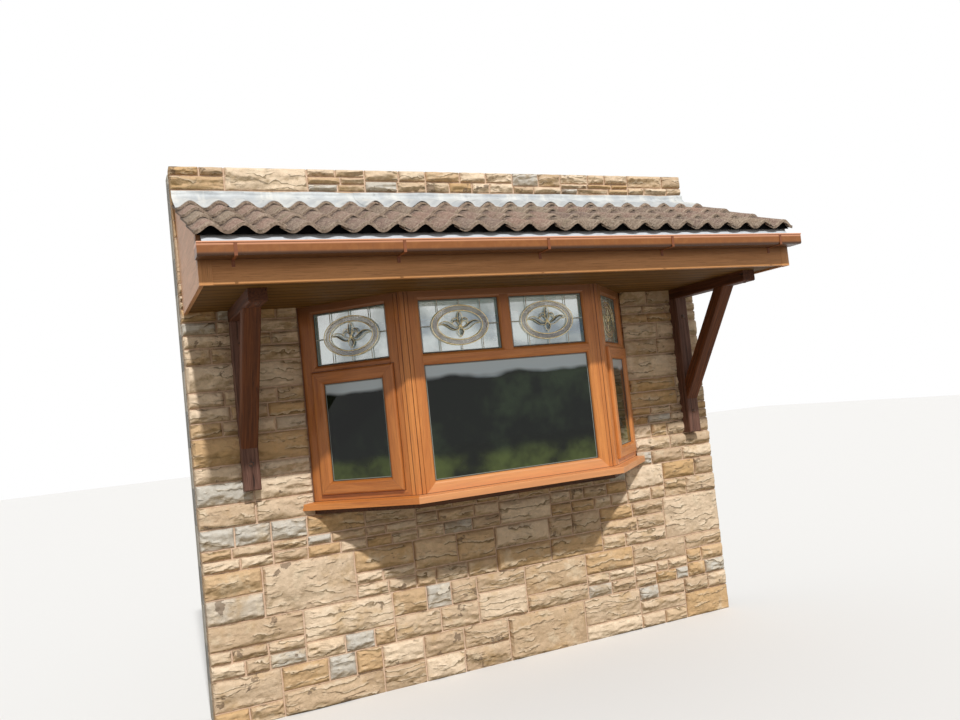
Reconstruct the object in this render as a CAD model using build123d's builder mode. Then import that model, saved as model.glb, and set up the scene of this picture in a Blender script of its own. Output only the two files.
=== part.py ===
from build123d import *
from math import asin, atan2, ceil, cos, degrees, pi, radians, sin, sqrt, tan
import os

os.makedirs("parts", exist_ok=True)

# A three-sided oak-effect bay window in its length of stone cavity wall, under a lean-to canopy
# of double pantiles that stands on two timber gallows brackets.
# X runs along the wall, Y into the house and Z up. The origin is on the ground, on the bay's
# centreline, in the middle of the wall's thickness. All sizes are in millimetres.

# Cavity wall, from the outside in
wall_length = 3600
wall_rise = 842
stone_leaf = 110
cavity = 60
block_leaf = 117
plaster = 13
lintel_height = 150
lintel_bearing = 150
closer_width = 40
cavity_fill = 150
wall_thickness = stone_leaf + cavity + block_leaf + plaster
stone_face = -wall_thickness / 2
stone_back = stone_face + stone_leaf
block_face = stone_back + cavity
room_face = wall_thickness / 2

# Plan of the bay, at the outer faces of its frames
projection = 486
splay = 45
front_width = 1314
pole_face = 46
wall_post_face = 29
wall_post_return = 90
front_half = front_width / 2
bay_front = stone_face - projection
splay_run = projection / tan(radians(splay))
side_length = projection / sin(radians(splay))
reveal = front_half + splay_run

# Heights above the ground
sill_underside = 1142
sill_thickness = 44
frame_height = 1172
sill_top = sill_underside + sill_thickness
frame_top = sill_top + frame_height
wall_height = frame_top + wall_rise
transom_height = 763

# Frame section: width to the edge of the glass, depth, bead and glazing rebate
frame_width = 66
frame_depth = 70
mullion_width = 77
transom_width = 66
bead_width = 15
bead_drop = 17
hollow_across = 0.42 * bead_width
hollow_drop = 0.34 * bead_drop
glass_face = 21
glass_thickness = 24
rebate_depth = 12
glass_gap = 0.3
inner_chamfer = 4
groove_depth = 3
groove_steps = (0, 25)

# Casement sash: it laps over the frame and stands proud of it
sash_width = 76
sash_lap = 30
sash_proud = 22
sash_body_depth = 48
sash_gap = 2
seal_gap = 0.3
sash_bevel_width = 12
sash_bevel_drop = 9
swell_across = 0.36 * sash_bevel_width
swell_drop = 0.3 * sash_bevel_drop

# Sill, base, head and window board
sill_nose = 52
sill_nose_height = 38
sill_tuck = 15
nose_radius = 5
drip_width = 8
drip_depth = 4
drip_inset = 12
base_thickness = 30
base_setback = 14
head_board_thickness = 12
window_board_thickness = 22
window_board_nosing = 25
window_board_round = 9
window_board_horn = 40

# Canopy
canopy_reach = 985
soffit_drop = 13
fascia_thickness = 20
fascia_lap = 10
fascia_round = 4
fascia_face = stone_face - canopy_reach
soffit_underside = frame_top - soffit_drop
fascia_bottom = soffit_underside - fascia_lap
end_board_thickness = 20
end_board_setback = 12
truss_count = 7
truss_thickness = 45
truss_joist = 70
truss_rafter = 75
truss_post = 70
batten_width = 38
batten_height = 25
tray_thickness = 3
tray_run = 42
tray_fall = 46

# Double pantiles: two waves to a tile, courses lapped up the slope
pitch = 21.5
gauge = 280
head_lap = 75
tile_wave = 150
wave_height = 40
wave_chords = 12
tile_thickness = 11
lap_gap = 0.3
eaves_overhang = 55
eaves_rise = 213
top_course_gap = 10
eaves_edge = fascia_face - eaves_overhang
eaves_underside = soffit_underside + eaves_rise
course_run = (stone_face - eaves_edge) / cos(radians(pitch))
course_count = ceil((course_run - head_lap) / gauge)

# Lead flashing
lead_thickness = 3
lead_upstand = 56
lead_apron = 250
lead_gap = 0.3

# Square-line gutter and its clips
gutter_width = 112
gutter_depth = 66
gutter_drop = 42
gutter_wall = 3
gutter_lip = 8
gutter_lip_round = 3
gutter_corner = 10
gutter_gap = 0.3
gutter_top = eaves_underside - gutter_drop
clip_spacing = 815
clip_width = 16
clip_tail = 34
clip_thickness = 3

# Gallows brackets
left_bracket = -1500
right_bracket = 1620
bracket_width = 95
post_depth = 85
post_drop = 1040
arm_height = 70
arm_reach = 800
brace_depth = 84
brace_start = 240
brace_reach = 600
post_foot = soffit_underside - post_drop
brace_foot = post_foot + brace_start
brace_head = stone_face - brace_reach
timber_chamfer = 6

# Directions and planes of the bay's three faces; hand is -1 left, 0 front and 1 right
sides = (("left", -1), ("right", 1))
up = Vector(0, 0, 1)


def along(hand):
    # direction along a face, from its left end to its right end
    return Vector(cos(radians(splay * hand)), sin(radians(splay * hand)), 0)


def inward(hand):
    # direction from a face's outside to the room
    return Vector(-sin(radians(splay * hand)), cos(radians(splay * hand)), 0)


def face_centre(hand):
    # middle of a face's length, at its outer surface on the ground
    if hand == 0:
        return Vector(0, bay_front, 0)
    return Vector(hand * (front_half + splay_run / 2), bay_front + projection / 2, 0)


def plan_plane(hand, height):
    # horizontal plane of a face: x along it, y towards the room
    return Plane(origin=face_centre(hand) + up * height, x_dir=along(hand), z_dir=(0, 0, 1))


def section_plane(hand, station):
    # upright plane across a face: x towards the room, y up, facing along the face
    origin = face_centre(hand) + along(hand) * station
    return Plane(origin=origin, x_dir=inward(hand), z_dir=along(hand))


def mitre_plane(hand, station, height, run, rise):
    # plane through a frame's corner, square to the face, facing (run, rise)
    origin = face_centre(hand) + along(hand) * station + up * height
    return Plane(origin=origin, z_dir=along(hand) * run + up * rise)


def face_ends(hand):
    # where a face's frame starts and stops, measured from the face's middle
    if hand == 0:
        return -front_half + pole_face, front_half - pole_face
    corner_end = side_length / 2 - pole_face
    wall_end = side_length / 2 - wall_post_face
    if hand > 0:
        return -corner_end, wall_end
    return -wall_end, corner_end


def frame_section(plane, edge, towards, width, upright):
    # Half of a frame member: flat outer face, hollowed bead, glazing rebate and inner lip.
    # edge is its outer edge, towards is +1 or -1 to the glass, width is edge to glass.
    def at(across, depth):
        place = edge + towards * across
        return (place, depth) if upright else (depth, place)

    bead_start = width - bead_width
    rebate = width - rebate_depth
    glass_back = glass_face + glass_thickness + glass_gap * 2
    with BuildSketch(plane) as section:
        with BuildLine():
            Polyline(at(0, frame_depth), at(0, 0), at(bead_start, 0))
            hollow = at(width - hollow_across, hollow_drop)
            ThreePointArc(at(bead_start, 0), hollow, at(width, bead_drop))
            Polyline(
                at(width, bead_drop),
                at(width, glass_face),
                at(rebate, glass_face),
                at(rebate, glass_back),
                at(width, glass_back),
                at(width, frame_depth - inner_chamfer),
                at(width - inner_chamfer, frame_depth),
                at(0, frame_depth),
            )
        make_face()
    return section.sketch


def sash_section(plane, edge, towards, upright):
    # Casement member: a lapping flange that stands proud, and a body inside the frame
    def at(across, depth):
        place = edge + towards * across
        return (place, depth) if upright else (depth, place)

    body = sash_lap + sash_gap
    rebate = sash_width - rebate_depth
    bead_start = sash_width - bead_width
    bead_end = bead_drop - sash_proud
    pane_front = glass_face - sash_proud
    pane_back = pane_front + glass_thickness + glass_gap * 2
    with BuildSketch(plane) as section:
        with BuildLine():
            Polyline(
                at(body, sash_body_depth),
                at(body, -seal_gap),
                at(0, -seal_gap),
                at(0, sash_bevel_drop - sash_proud),
            )
            swell = at(swell_across, swell_drop - sash_proud)
            ThreePointArc(
                at(0, sash_bevel_drop - sash_proud), swell, at(sash_bevel_width, -sash_proud)
            )
            Line(at(sash_bevel_width, -sash_proud), at(bead_start, -sash_proud))
            hollow = at(sash_width - hollow_across, hollow_drop - sash_proud)
            ThreePointArc(at(bead_start, -sash_proud), hollow, at(sash_width, bead_end))
            Polyline(
                at(sash_width, bead_end),
                at(sash_width, pane_front),
                at(rebate, pane_front),
                at(rebate, pane_back),
                at(sash_width, pane_back),
                at(sash_width, sash_body_depth - inner_chamfer),
                at(sash_width - inner_chamfer, sash_body_depth),
                at(body, sash_body_depth),
            )
        make_face()
    return section.sketch


def member_section(kind, plane, edge, towards, upright):
    if kind == "sash":
        return sash_section(plane, edge, towards, upright)
    return frame_section(plane, edge, towards, frame_width, upright)


def upright_member(kind, hand, edge, towards, bottom, top):
    # jamb or stile: extruded up, then mitred at both ends
    with BuildPart() as member:
        extrude(member_section(kind, plan_plane(hand, bottom), edge, towards, True), top - bottom)
        split(bisect_by=mitre_plane(hand, edge, top, -towards, -1), keep=Keep.TOP)
        split(bisect_by=mitre_plane(hand, edge, bottom, -towards, 1), keep=Keep.TOP)
    return member.part


def level_member(kind, hand, left, right, edge, towards):
    # head or bottom rail: extruded along the face, then mitred at both ends
    with BuildPart() as member:
        extrude(member_section(kind, section_plane(hand, left), edge, towards, False), right - left)
        split(bisect_by=mitre_plane(hand, left, edge, 1, -towards), keep=Keep.TOP)
        split(bisect_by=mitre_plane(hand, right, edge, -1, -towards), keep=Keep.TOP)
    return member.part


def pane(hand, left, right, bottom, top, front):
    # sealed glass unit, let into the rebates round its sight edges
    tuck = rebate_depth - glass_gap
    width = right - left + 2 * tuck
    height = top - bottom + 2 * tuck
    middle = face_centre(hand) + along(hand) * ((left + right) / 2) + inward(hand) * front
    plane = Plane(
        origin=middle + up * ((bottom + top) / 2), x_dir=along(hand), z_dir=inward(hand)
    )
    with BuildPart() as glass:
        with BuildSketch(plane):
            Rectangle(width, height)
        extrude(amount=glass_thickness)
    return glass.part


def bay_corner(inset):
    # front corner of the bay's plan, on the right, inset from the outer faces
    return front_half - inset * tan(radians(splay / 2)), bay_front + inset


def bay_outline(inset, back):
    # right half of the bay's plan, held to the width of the opening
    corner_x, corner_y = bay_corner(inset)
    turn_y = corner_y + (reveal - corner_x) * tan(radians(splay))
    return [(corner_x, corner_y), (reveal, turn_y), (reveal, back)]


def both_halves(points):
    # a closed outline from its right half, mirrored to the left
    return points + [(-x, y) for x, y in reversed(points)]


def write(piece, name):
    piece.label = name
    export_step(piece, f"parts/{name}.step")


# Stone leaf and block leaf: below, beside and above the opening
opening_bottom = sill_underside - base_thickness
opening_top = frame_top + head_board_thickness
pier_width = wall_length / 2 - reveal
for name, near, far, foot in (
    ("stone", stone_face, stone_back, opening_bottom),
    ("inner", block_face, room_face, sill_top),
):
    with BuildPart() as wall_below:
        with BuildSketch(Plane.XY):
            with Locations((0, (near + far) / 2)):
                Rectangle(wall_length, far - near)
        extrude(amount=foot)
    write(wall_below.part, f"{name}_below")

    with BuildPart() as wall_piers:
        with BuildSketch(Plane.XY.offset(foot)):
            middle = reveal + pier_width / 2
            with Locations((-middle, (near + far) / 2), (middle, (near + far) / 2)):
                Rectangle(pier_width, far - near)
        extrude(amount=opening_top - foot)
    write(wall_piers.part, f"{name}_piers")

    lintel_half = reveal + lintel_bearing
    lintel_top = opening_top + lintel_height
    with BuildPart() as wall_above:
        with BuildSketch(Plane.XZ.offset(-far)):
            with BuildLine():
                Polyline(
                    both_halves(
                        [
                            (lintel_half, lintel_top),
                            (lintel_half, opening_top),
                            (wall_length / 2, opening_top),
                            (wall_length / 2, wall_height),
                        ]
                    ),
                    close=True,
                )
            make_face()
        extrude(amount=far - near)
    write(wall_above.part, f"{name}_above")

# Reinforced lintel across both leaves, its room face flush under the plaster
with BuildPart() as lintel:
    with BuildSketch(Plane.XY.offset(opening_top)):
        with Locations((0, (stone_face + room_face) / 2)):
            Rectangle(2 * lintel_half, wall_thickness)
    extrude(amount=lintel_height)
write(lintel.part, "lintel")

# Cavity closers at the two reveals, and the lean fill at the foot of the cavity
cavity_middle = (stone_back + block_face) / 2
with BuildPart() as closers:
    with BuildSketch(Plane.XY.offset(opening_bottom)):
        closer_middle = reveal + closer_width / 2
        with Locations((-closer_middle, cavity_middle), (closer_middle, cavity_middle)):
            Rectangle(closer_width, cavity)
    extrude(amount=opening_top - opening_bottom)
    with BuildSketch(Plane.XY):
        with Locations((0, cavity_middle)):
            Rectangle(wall_length, cavity)
    extrude(amount=cavity_fill)
write(closers.part, "cavity_closers")


# Sill: one moulded section with a sloped top, a rounded nose and a drip groove, in three mitred
# lengths. The side lengths die into the stone face.
def sill_section(plane):
    nose_top = sill_underside + sill_nose_height
    drip_start = -sill_nose + drip_inset
    with BuildSketch(plane) as section:
        with BuildLine():
            Polyline(
                (frame_depth + sill_tuck, sill_underside),
                (frame_depth + sill_tuck, sill_top),
                (-seal_gap, sill_top),
                (nose_radius - sill_nose, nose_top),
            )
            RadiusArc(
                (nose_radius - sill_nose, nose_top),
                (-sill_nose, nose_top - nose_radius),
                -nose_radius,
            )
            Polyline(
                (-sill_nose, nose_top - nose_radius),
                (-sill_nose, sill_underside),
                (drip_start, sill_underside),
                (drip_start, sill_underside + drip_depth),
                (drip_start + drip_width, sill_underside + drip_depth),
                (drip_start + drip_width, sill_underside),
                (frame_depth + sill_tuck, sill_underside),
            )
        make_face()
    return section.sketch


def corner_plane(hand, turned):
    # upright mitre plane at a front corner of the bay; turned is 1 to face the front length
    lean = radians(splay / 2)
    facing = Vector(-hand * turned * cos(lean), -turned * sin(lean), 0)
    return Plane(origin=(hand * front_half, bay_front, 0), z_dir=facing)


sill_run = front_half + 2 * sill_nose
with BuildPart() as front_sill:
    extrude(sill_section(section_plane(0, -sill_run)), 2 * sill_run)
    split(bisect_by=corner_plane(-1, 1), keep=Keep.TOP)
    split(bisect_by=corner_plane(1, 1), keep=Keep.TOP)
write(front_sill.part, "front_sill")

stone_plane = Plane(origin=(0, stone_face, 0), z_dir=(0, -1, 0))
for side, hand in sides:
    side_run = side_length / 2 + 2 * (sill_nose + frame_depth + sill_tuck)
    with BuildPart() as side_sill:
        extrude(sill_section(section_plane(hand, -side_run)), 2 * side_run)
        split(bisect_by=corner_plane(hand, -1), keep=Keep.TOP)
        split(bisect_by=stone_plane, keep=Keep.TOP)
    write(side_sill.part, f"{side}_sill")

# Fixed frames of the three faces
for face, hand in (("front", 0),) + sides:
    left, right = face_ends(hand)
    with BuildPart() as jambs:
        add(upright_member("frame", hand, left, 1, sill_top, frame_top))
        add(upright_member("frame", hand, right, -1, sill_top, frame_top))
    write(jambs.part, f"{face}_jambs")

    with BuildPart() as rails:
        add(level_member("frame", hand, left, right, sill_top, 1))
        add(level_member("frame", hand, left, right, frame_top, -1))
    write(rails.part, f"{face}_rails")

    # The transom is tenoned into the jambs' rebates and scribed over their beads
    transom_middle = sill_top + transom_height
    with BuildPart() as transom:
        half = transom_width / 2
        for towards in (-1, 1):
            plane = section_plane(hand, left + frame_width - rebate_depth)
            section = frame_section(plane, transom_middle, towards, half, False)
            extrude(section, right - left - 2 * (frame_width - rebate_depth))
        add(jambs.part, mode=Mode.SUBTRACT)
    write(transom.part, f"{face}_transom")

    if hand == 0:
        # The mullion parts the two front top lights
        with BuildPart() as mullion:
            foot = transom_middle + half - rebate_depth
            head = frame_top - frame_width + rebate_depth
            for towards in (-1, 1):
                section = frame_section(plan_plane(0, foot), 0, towards, mullion_width / 2, True)
                extrude(section, head - foot)
            add(transom.part, mode=Mode.SUBTRACT)
            add(rails.part, mode=Mode.SUBTRACT)
        write(mullion.part, "front_mullion")

# Sealed glass units of the fixed lights
light_foot = sill_top + frame_width
light_head = frame_top - frame_width
transom_foot = transom_middle - transom_width / 2
transom_head = transom_middle + transom_width / 2
pane_front = glass_face + glass_gap
left, right = face_ends(0)
light_left = left + frame_width
light_right = right - frame_width
write(
    pane(0, light_left, light_right, light_foot, transom_foot, pane_front),
    "picture_glass",
)
with BuildPart() as front_lights:
    half = mullion_width / 2
    add(pane(0, light_left, -half, transom_head, light_head, pane_front))
    add(pane(0, half, light_right, transom_head, light_head, pane_front))
write(front_lights.part, "front_top_glass")

with BuildPart() as side_lights:
    for side, hand in sides:
        left, right = face_ends(hand)
        add(
            pane(
                hand,
                left + frame_width,
                right - frame_width,
                transom_head,
                light_head,
                pane_front,
            )
        )
write(side_lights.part, "side_top_glass")

# Casement sashes and their glass
sash_foot = light_foot - sash_lap
sash_head = transom_foot + sash_lap
with BuildPart() as casement_panes:
    for side, hand in sides:
        left, right = face_ends(hand)
        sash_left = left + frame_width - sash_lap
        sash_right = right - frame_width + sash_lap
        add(
            pane(
                hand,
                sash_left + sash_width,
                sash_right - sash_width,
                sash_foot + sash_width,
                sash_head - sash_width,
                pane_front - sash_proud,
            )
        )
write(casement_panes.part, "casement_glass")

for side, hand in sides:
    left, right = face_ends(hand)
    sash_left = left + frame_width - sash_lap
    sash_right = right - frame_width + sash_lap
    with BuildPart() as sash:
        add(upright_member("sash", hand, sash_left, 1, sash_foot, sash_head))
        add(upright_member("sash", hand, sash_right, -1, sash_foot, sash_head))
        add(level_member("sash", hand, sash_left, sash_right, sash_foot, 1))
        add(level_member("sash", hand, sash_left, sash_right, sash_head, -1))
    write(sash.part, f"{side}_sash")


# Bay poles: the splayed posts that join the faces, with a groove beside each frame
def pole_outline(hand):
    # from the front frame's end round the outer corner to the side frame's end and back inside
    corner = Vector(hand * front_half, bay_front, 0)
    front_end = corner - Vector(hand * pole_face, 0, 0)
    side_end = corner + along(hand) * (hand * pole_face)
    inner_x, inner_y = bay_corner(frame_depth)
    return [
        front_end,
        corner,
        side_end,
        side_end + inward(hand) * frame_depth,
        Vector(hand * inner_x, inner_y, 0),
        front_end + Vector(0, frame_depth, 0),
    ]


groove_side = groove_depth * sqrt(2)
with BuildPart() as poles:
    for side, hand in sides:
        outline = [(point.X, point.Y) for point in pole_outline(hand)]
        with BuildSketch(Plane.XY.offset(sill_top)):
            with BuildLine():
                Polyline(outline, close=True)
            make_face()
        extrude(amount=frame_height)
        for face_hand, place in ((0, hand * front_half), (hand, -hand * side_length / 2)):
            inset = pole_face if face_hand else -pole_face
            for step in groove_steps:
                groove = place + hand * (inset - step if face_hand else inset + step)
                with BuildSketch(plan_plane(face_hand, sill_top)):
                    with Locations((groove, 0)):
                        Rectangle(groove_side, groove_side, rotation=45)
                extrude(amount=frame_height, mode=Mode.SUBTRACT)
write(poles.part, "bay_poles")

# Wall posts: they close the side frames against the reveals
with BuildPart() as wall_posts:
    for side, hand in sides:
        frame_end = face_centre(hand) + along(hand) * (hand * (side_length / 2 - wall_post_face))
        frame_inside = frame_end + inward(hand) * frame_depth
        post_back = stone_face + wall_post_return
        with BuildSketch(Plane.XY.offset(sill_top)):
            with BuildLine():
                Polyline(
                    (frame_end.X, frame_end.Y),
                    (frame_inside.X, frame_inside.Y),
                    (frame_inside.X, post_back),
                    (hand * reveal, post_back),
                    (hand * reveal, stone_face),
                    close=True,
                )
            make_face()
        extrude(amount=frame_height)
write(wall_posts.part, "wall_posts")

# Base box under the sill, and the insulated step inside it up to the window board
with BuildPart() as base:
    with BuildSketch(Plane.XY.offset(opening_bottom)):
        with BuildLine():
            Polyline(both_halves(bay_outline(base_setback, block_face)), close=True)
        make_face()
    extrude(amount=base_thickness)
    with BuildSketch(Plane.XY.offset(sill_underside)):
        with BuildLine():
            inset = frame_depth + sill_tuck
            Polyline(both_halves(bay_outline(inset, block_face)), close=True)
        make_face()
    extrude(amount=sill_thickness)
write(base.part, "bay_base")

# Head board: it ties the frames together and lines the top of the opening
with BuildPart() as head_board:
    with BuildSketch(Plane.XY.offset(frame_top)):
        with BuildLine():
            Polyline(both_halves(bay_outline(0, room_face)), close=True)
        make_face()
    extrude(amount=head_board_thickness)
write(head_board.part, "bay_head_board")

# Window board, scribed round the wall posts, with a rounded nosing and horns in the room
inner_x, inner_y = bay_corner(frame_depth)
board_edge = room_face + window_board_nosing
with BuildPart() as window_board:
    with BuildSketch(Plane.XY.offset(sill_top)):
        with BuildLine():
            Polyline(
                both_halves(
                    [
                        (inner_x, inner_y),
                        (abs(frame_inside.X), frame_inside.Y),
                        (abs(frame_inside.X), post_back),
                        (reveal, post_back),
                        (reveal, room_face),
                        (reveal + window_board_horn, room_face),
                        (reveal + window_board_horn, board_edge),
                    ]
                ),
                close=True,
            )
        make_face()
    extrude(amount=window_board_thickness)
    nosing = window_board.faces().sort_by(Axis.Y)[-1].edges().filter_by(Axis.X)
    fillet(nosing, window_board_round)
write(window_board.part, "window_board")

# Geometry of the slope: every tile lies flatter than the roof, because it rides on the one below
# it. The two touch on the flanks of their waves, which leaves a dark slit under each crest.
half_wave = wave_height / 2
wave_turn = atan2(2 * pi * half_wave, tile_wave)
tile_lean = degrees(asin((tile_thickness / cos(wave_turn) + lap_gap) / gauge))
tile_pitch = pitch - tile_lean
tile_slope = Vector(0, cos(radians(tile_pitch)), sin(radians(tile_pitch)))
roof_slope = Vector(0, cos(radians(pitch)), sin(radians(pitch)))
tile_length = gauge + head_lap


def course_tail(index):
    # middle of a tile's wave at the lower edge of one course
    trough_to_middle = (half_wave + tile_thickness / 2) / cos(radians(tile_pitch))
    first = Vector(0, eaves_edge, eaves_underside + trough_to_middle)
    return first + roof_slope * (gauge * index)


def wave_line(shift):
    # the tiles' upper or lower surface, left to right: a cosine with its hollows at the ends of
    # the canopy, moved off its middle line by shift, square to its slope
    count = round(wall_length / tile_wave * wave_chords)
    points = []
    for step in range(count + 1):
        turn = 2 * pi * step / wave_chords
        slope = atan2(2 * pi * half_wave * sin(turn), tile_wave)
        x = -wall_length / 2 + step * tile_wave / wave_chords - shift * sin(slope)
        points.append((x, shift * cos(slope) - half_wave * cos(turn)))
    return points


with BuildPart() as tiles:
    for index in range(course_count):
        tail = course_tail(index)
        plane = Plane(origin=tail, x_dir=(1, 0, 0), z_dir=tile_slope)
        length = tile_length
        if index == course_count - 1:
            length = (stone_face - top_course_gap - tail.Y) / cos(radians(tile_pitch))
        upper = wave_line(tile_thickness / 2)
        lower = wave_line(-tile_thickness / 2)
        outline = upper + lower[::-1]
        with BuildSketch(plane):
            with BuildLine():
                # local y of this plane points down, so heights are turned over
                Polyline([(x, -height) for x, height in outline], close=True)
            make_face()
        extrude(amount=length)
write(tiles.part, "tile_courses")

# Battens under the heads of the tiles, and the plane of the rafters beneath them
batten_station = tile_length - batten_width
trough_drop = half_wave + tile_thickness / 2
tile_under = Vector(0, sin(radians(tile_pitch)), -cos(radians(tile_pitch)))
batten_drop = trough_drop + lap_gap + batten_width / 2 * sin(radians(tile_lean))
batten_seat = course_tail(0) + tile_slope * batten_station + tile_under * batten_drop
rafter_seat = batten_seat + Vector(0, sin(radians(pitch)), -cos(radians(pitch))) * batten_height


def batten_top(y):
    return batten_seat.Z + (y - batten_seat.Y) * tan(radians(pitch))


def rafter_top(y):
    return rafter_seat.Z + (y - rafter_seat.Y) * tan(radians(pitch))


canopy_inside = wall_length / 2 - end_board_setback - end_board_thickness
with BuildPart() as battens:
    for index in range(course_count):
        corner = batten_seat + roof_slope * (gauge * index)
        if index == course_count - 1:
            corner = corner - roof_slope * (tile_length - length + batten_width / 2)
        plane = Plane(origin=corner, x_dir=roof_slope, z_dir=(1, 0, 0))
        with BuildSketch(plane):
            with Locations((0, -batten_height / 2)):
                Rectangle(batten_width, batten_height)
        extrude(amount=canopy_inside, both=True)
write(battens.part, "tile_battens")

# Trusses: joist, rafter and wall stud fixed together, one behind each clip and bracket line
joist_foot = opening_top
fascia_back = fascia_face + fascia_thickness
stud_face = stone_face - truss_post
joist_top = joist_foot + truss_joist
rafter_drop = truss_rafter / cos(radians(pitch))
rafter_joist = fascia_back + (joist_top + rafter_drop - rafter_top(fascia_back)) / tan(radians(pitch))
with BuildPart() as trusses:
    reach = canopy_inside - truss_thickness / 2
    for index in range(truss_count):
        x = -reach + 2 * reach * index / (truss_count - 1)
        with BuildSketch(Plane.YZ.offset(x - truss_thickness / 2)):
            with BuildLine():
                Polyline(
                    (fascia_back, joist_foot),
                    (fascia_back, rafter_top(fascia_back)),
                    (stone_face, rafter_top(stone_face)),
                    (stone_face, joist_foot),
                    close=True,
                )
            make_face()
            with BuildLine():
                Polyline(
                    (rafter_joist, joist_top),
                    (stud_face, rafter_top(stud_face) - rafter_drop),
                    (stud_face, joist_top),
                    close=True,
                )
            make_face(mode=Mode.SUBTRACT)
        extrude(amount=truss_thickness)
write(trusses.part, "canopy_trusses")

# Soffit boards, cut round the bay
with BuildPart() as soffit:
    with BuildSketch(Plane.XY.offset(soffit_underside)):
        with Locations((0, (fascia_back + stone_face) / 2)):
            Rectangle(2 * canopy_inside, stone_face - fascia_back)
        with BuildLine():
            Polyline(both_halves(bay_outline(0, stone_back)), close=True)
        make_face(mode=Mode.SUBTRACT)
    extrude(amount=joist_foot - soffit_underside)
write(soffit.part, "soffit")

# Fascia, with rounded arrises, up to the eaves tray
tray_bend = fascia_face - 2 * tray_thickness
tile_rest = eaves_underside + (tray_bend - eaves_edge) * tan(radians(tile_pitch))
fascia_top = tile_rest - tray_thickness - lap_gap
with BuildPart() as fascia:
    with BuildSketch(Plane.YZ.offset(-wall_length / 2 + end_board_setback)):
        with Locations(((fascia_face + fascia_back) / 2, (fascia_bottom + fascia_top) / 2)):
            Rectangle(fascia_thickness, fascia_top - fascia_bottom)
    extrude(amount=wall_length - 2 * end_board_setback)
    front_arrises = fascia.faces().sort_by(Axis.Y)[0].edges().filter_by(Axis.X)
    fillet(front_arrises, fascia_round)
write(fascia.part, "fascia")

# End boards, boxing in the two ends up to the undersides of the tiles
with BuildPart() as end_boards:
    for side, hand in sides:
        outer = hand * (wall_length / 2 - end_board_setback)
        with BuildSketch(Plane.YZ.offset(outer)):
            with BuildLine():
                Polyline(
                    (fascia_back, fascia_bottom),
                    (fascia_back, batten_top(fascia_back)),
                    (stone_face, batten_top(stone_face)),
                    (stone_face, fascia_bottom),
                    close=True,
                )
            make_face()
        extrude(amount=-hand * end_board_thickness)
write(end_boards.part, "canopy_end_boards")

# Eaves tray: a bent strip on the fascia that carries the first tiles and drips into the gutter
with BuildPart() as tray:
    with BuildSketch(Plane.YZ.offset(-canopy_inside)):
        with BuildLine() as tray_line:
            Polyline(
                (fascia_back, fascia_top + tray_thickness / 2),
                (fascia_face - tray_thickness, fascia_top + tray_thickness / 2),
                (fascia_face - tray_run, fascia_top - tray_fall),
            )
            offset(amount=tray_thickness / 2, kind=Kind.INTERSECTION, side=Side.BOTH)
        make_face()
    extrude(amount=2 * canopy_inside)
write(tray.part, "eaves_tray")

# Lead flashing: upstand on the stone and apron over the top course
crest_rise = (half_wave + tile_thickness / 2 + lead_gap) / cos(radians(tile_pitch))
apron_foot = stone_face - lead_apron
top_tail = course_tail(course_count - 1)


def apron_under(y):
    return top_tail.Z + crest_rise + (y - top_tail.Y) * tan(radians(tile_pitch))


lead_rise = lead_thickness / cos(radians(tile_pitch))
lead_top = apron_under(stone_face) + lead_upstand
with BuildPart() as flashing:
    with BuildSketch(Plane.YZ.offset(-wall_length / 2)):
        with BuildLine():
            Polyline(
                (apron_foot, apron_under(apron_foot)),
                (stone_face, apron_under(stone_face)),
                (stone_face, lead_top),
                (stone_face - lead_thickness, lead_top),
                (stone_face - lead_thickness, apron_under(stone_face - lead_thickness) + lead_rise),
                (apron_foot, apron_under(apron_foot) + lead_rise),
                close=True,
            )
        make_face()
    extrude(amount=wall_length)
write(flashing.part, "lead_flashing")

# Square-line gutter: channel with rounded corners, rolled front lip and stop ends
gutter_back = fascia_face - gutter_gap
gutter_front = gutter_back - gutter_width
gutter_foot = gutter_top - gutter_depth
with BuildPart() as gutter:
    with BuildSketch(Plane.YZ.offset(-wall_length / 2)) as shell:
        with Locations(((gutter_back + gutter_front) / 2, (gutter_top + gutter_foot) / 2)):
            Rectangle(gutter_width, gutter_depth)
        fillet(shell.vertices().group_by(Axis.Y)[0], gutter_corner)
    extrude(amount=wall_length)
    with BuildSketch(Plane.YZ.offset(-wall_length / 2 + gutter_wall)) as channel:
        inside_top = gutter_top + gutter_wall
        inside_foot = gutter_foot + gutter_wall
        with Locations(((gutter_back + gutter_front) / 2, (inside_top + inside_foot) / 2)):
            Rectangle(gutter_width - 2 * gutter_wall, inside_top - inside_foot)
        fillet(channel.vertices().group_by(Axis.Y)[0], gutter_corner - gutter_wall)
    extrude(amount=wall_length - 2 * gutter_wall, mode=Mode.SUBTRACT)
    with BuildSketch(Plane.YZ.offset(-wall_length / 2)) as lip:
        with Locations((gutter_front - gutter_lip / 2 + gutter_wall, gutter_top - gutter_lip / 2)):
            Rectangle(gutter_lip, gutter_lip)
        fillet(lip.vertices().sort_by(Axis.X)[:2], gutter_lip_round)
    extrude(amount=wall_length)
write(gutter.part, "gutter")

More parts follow.
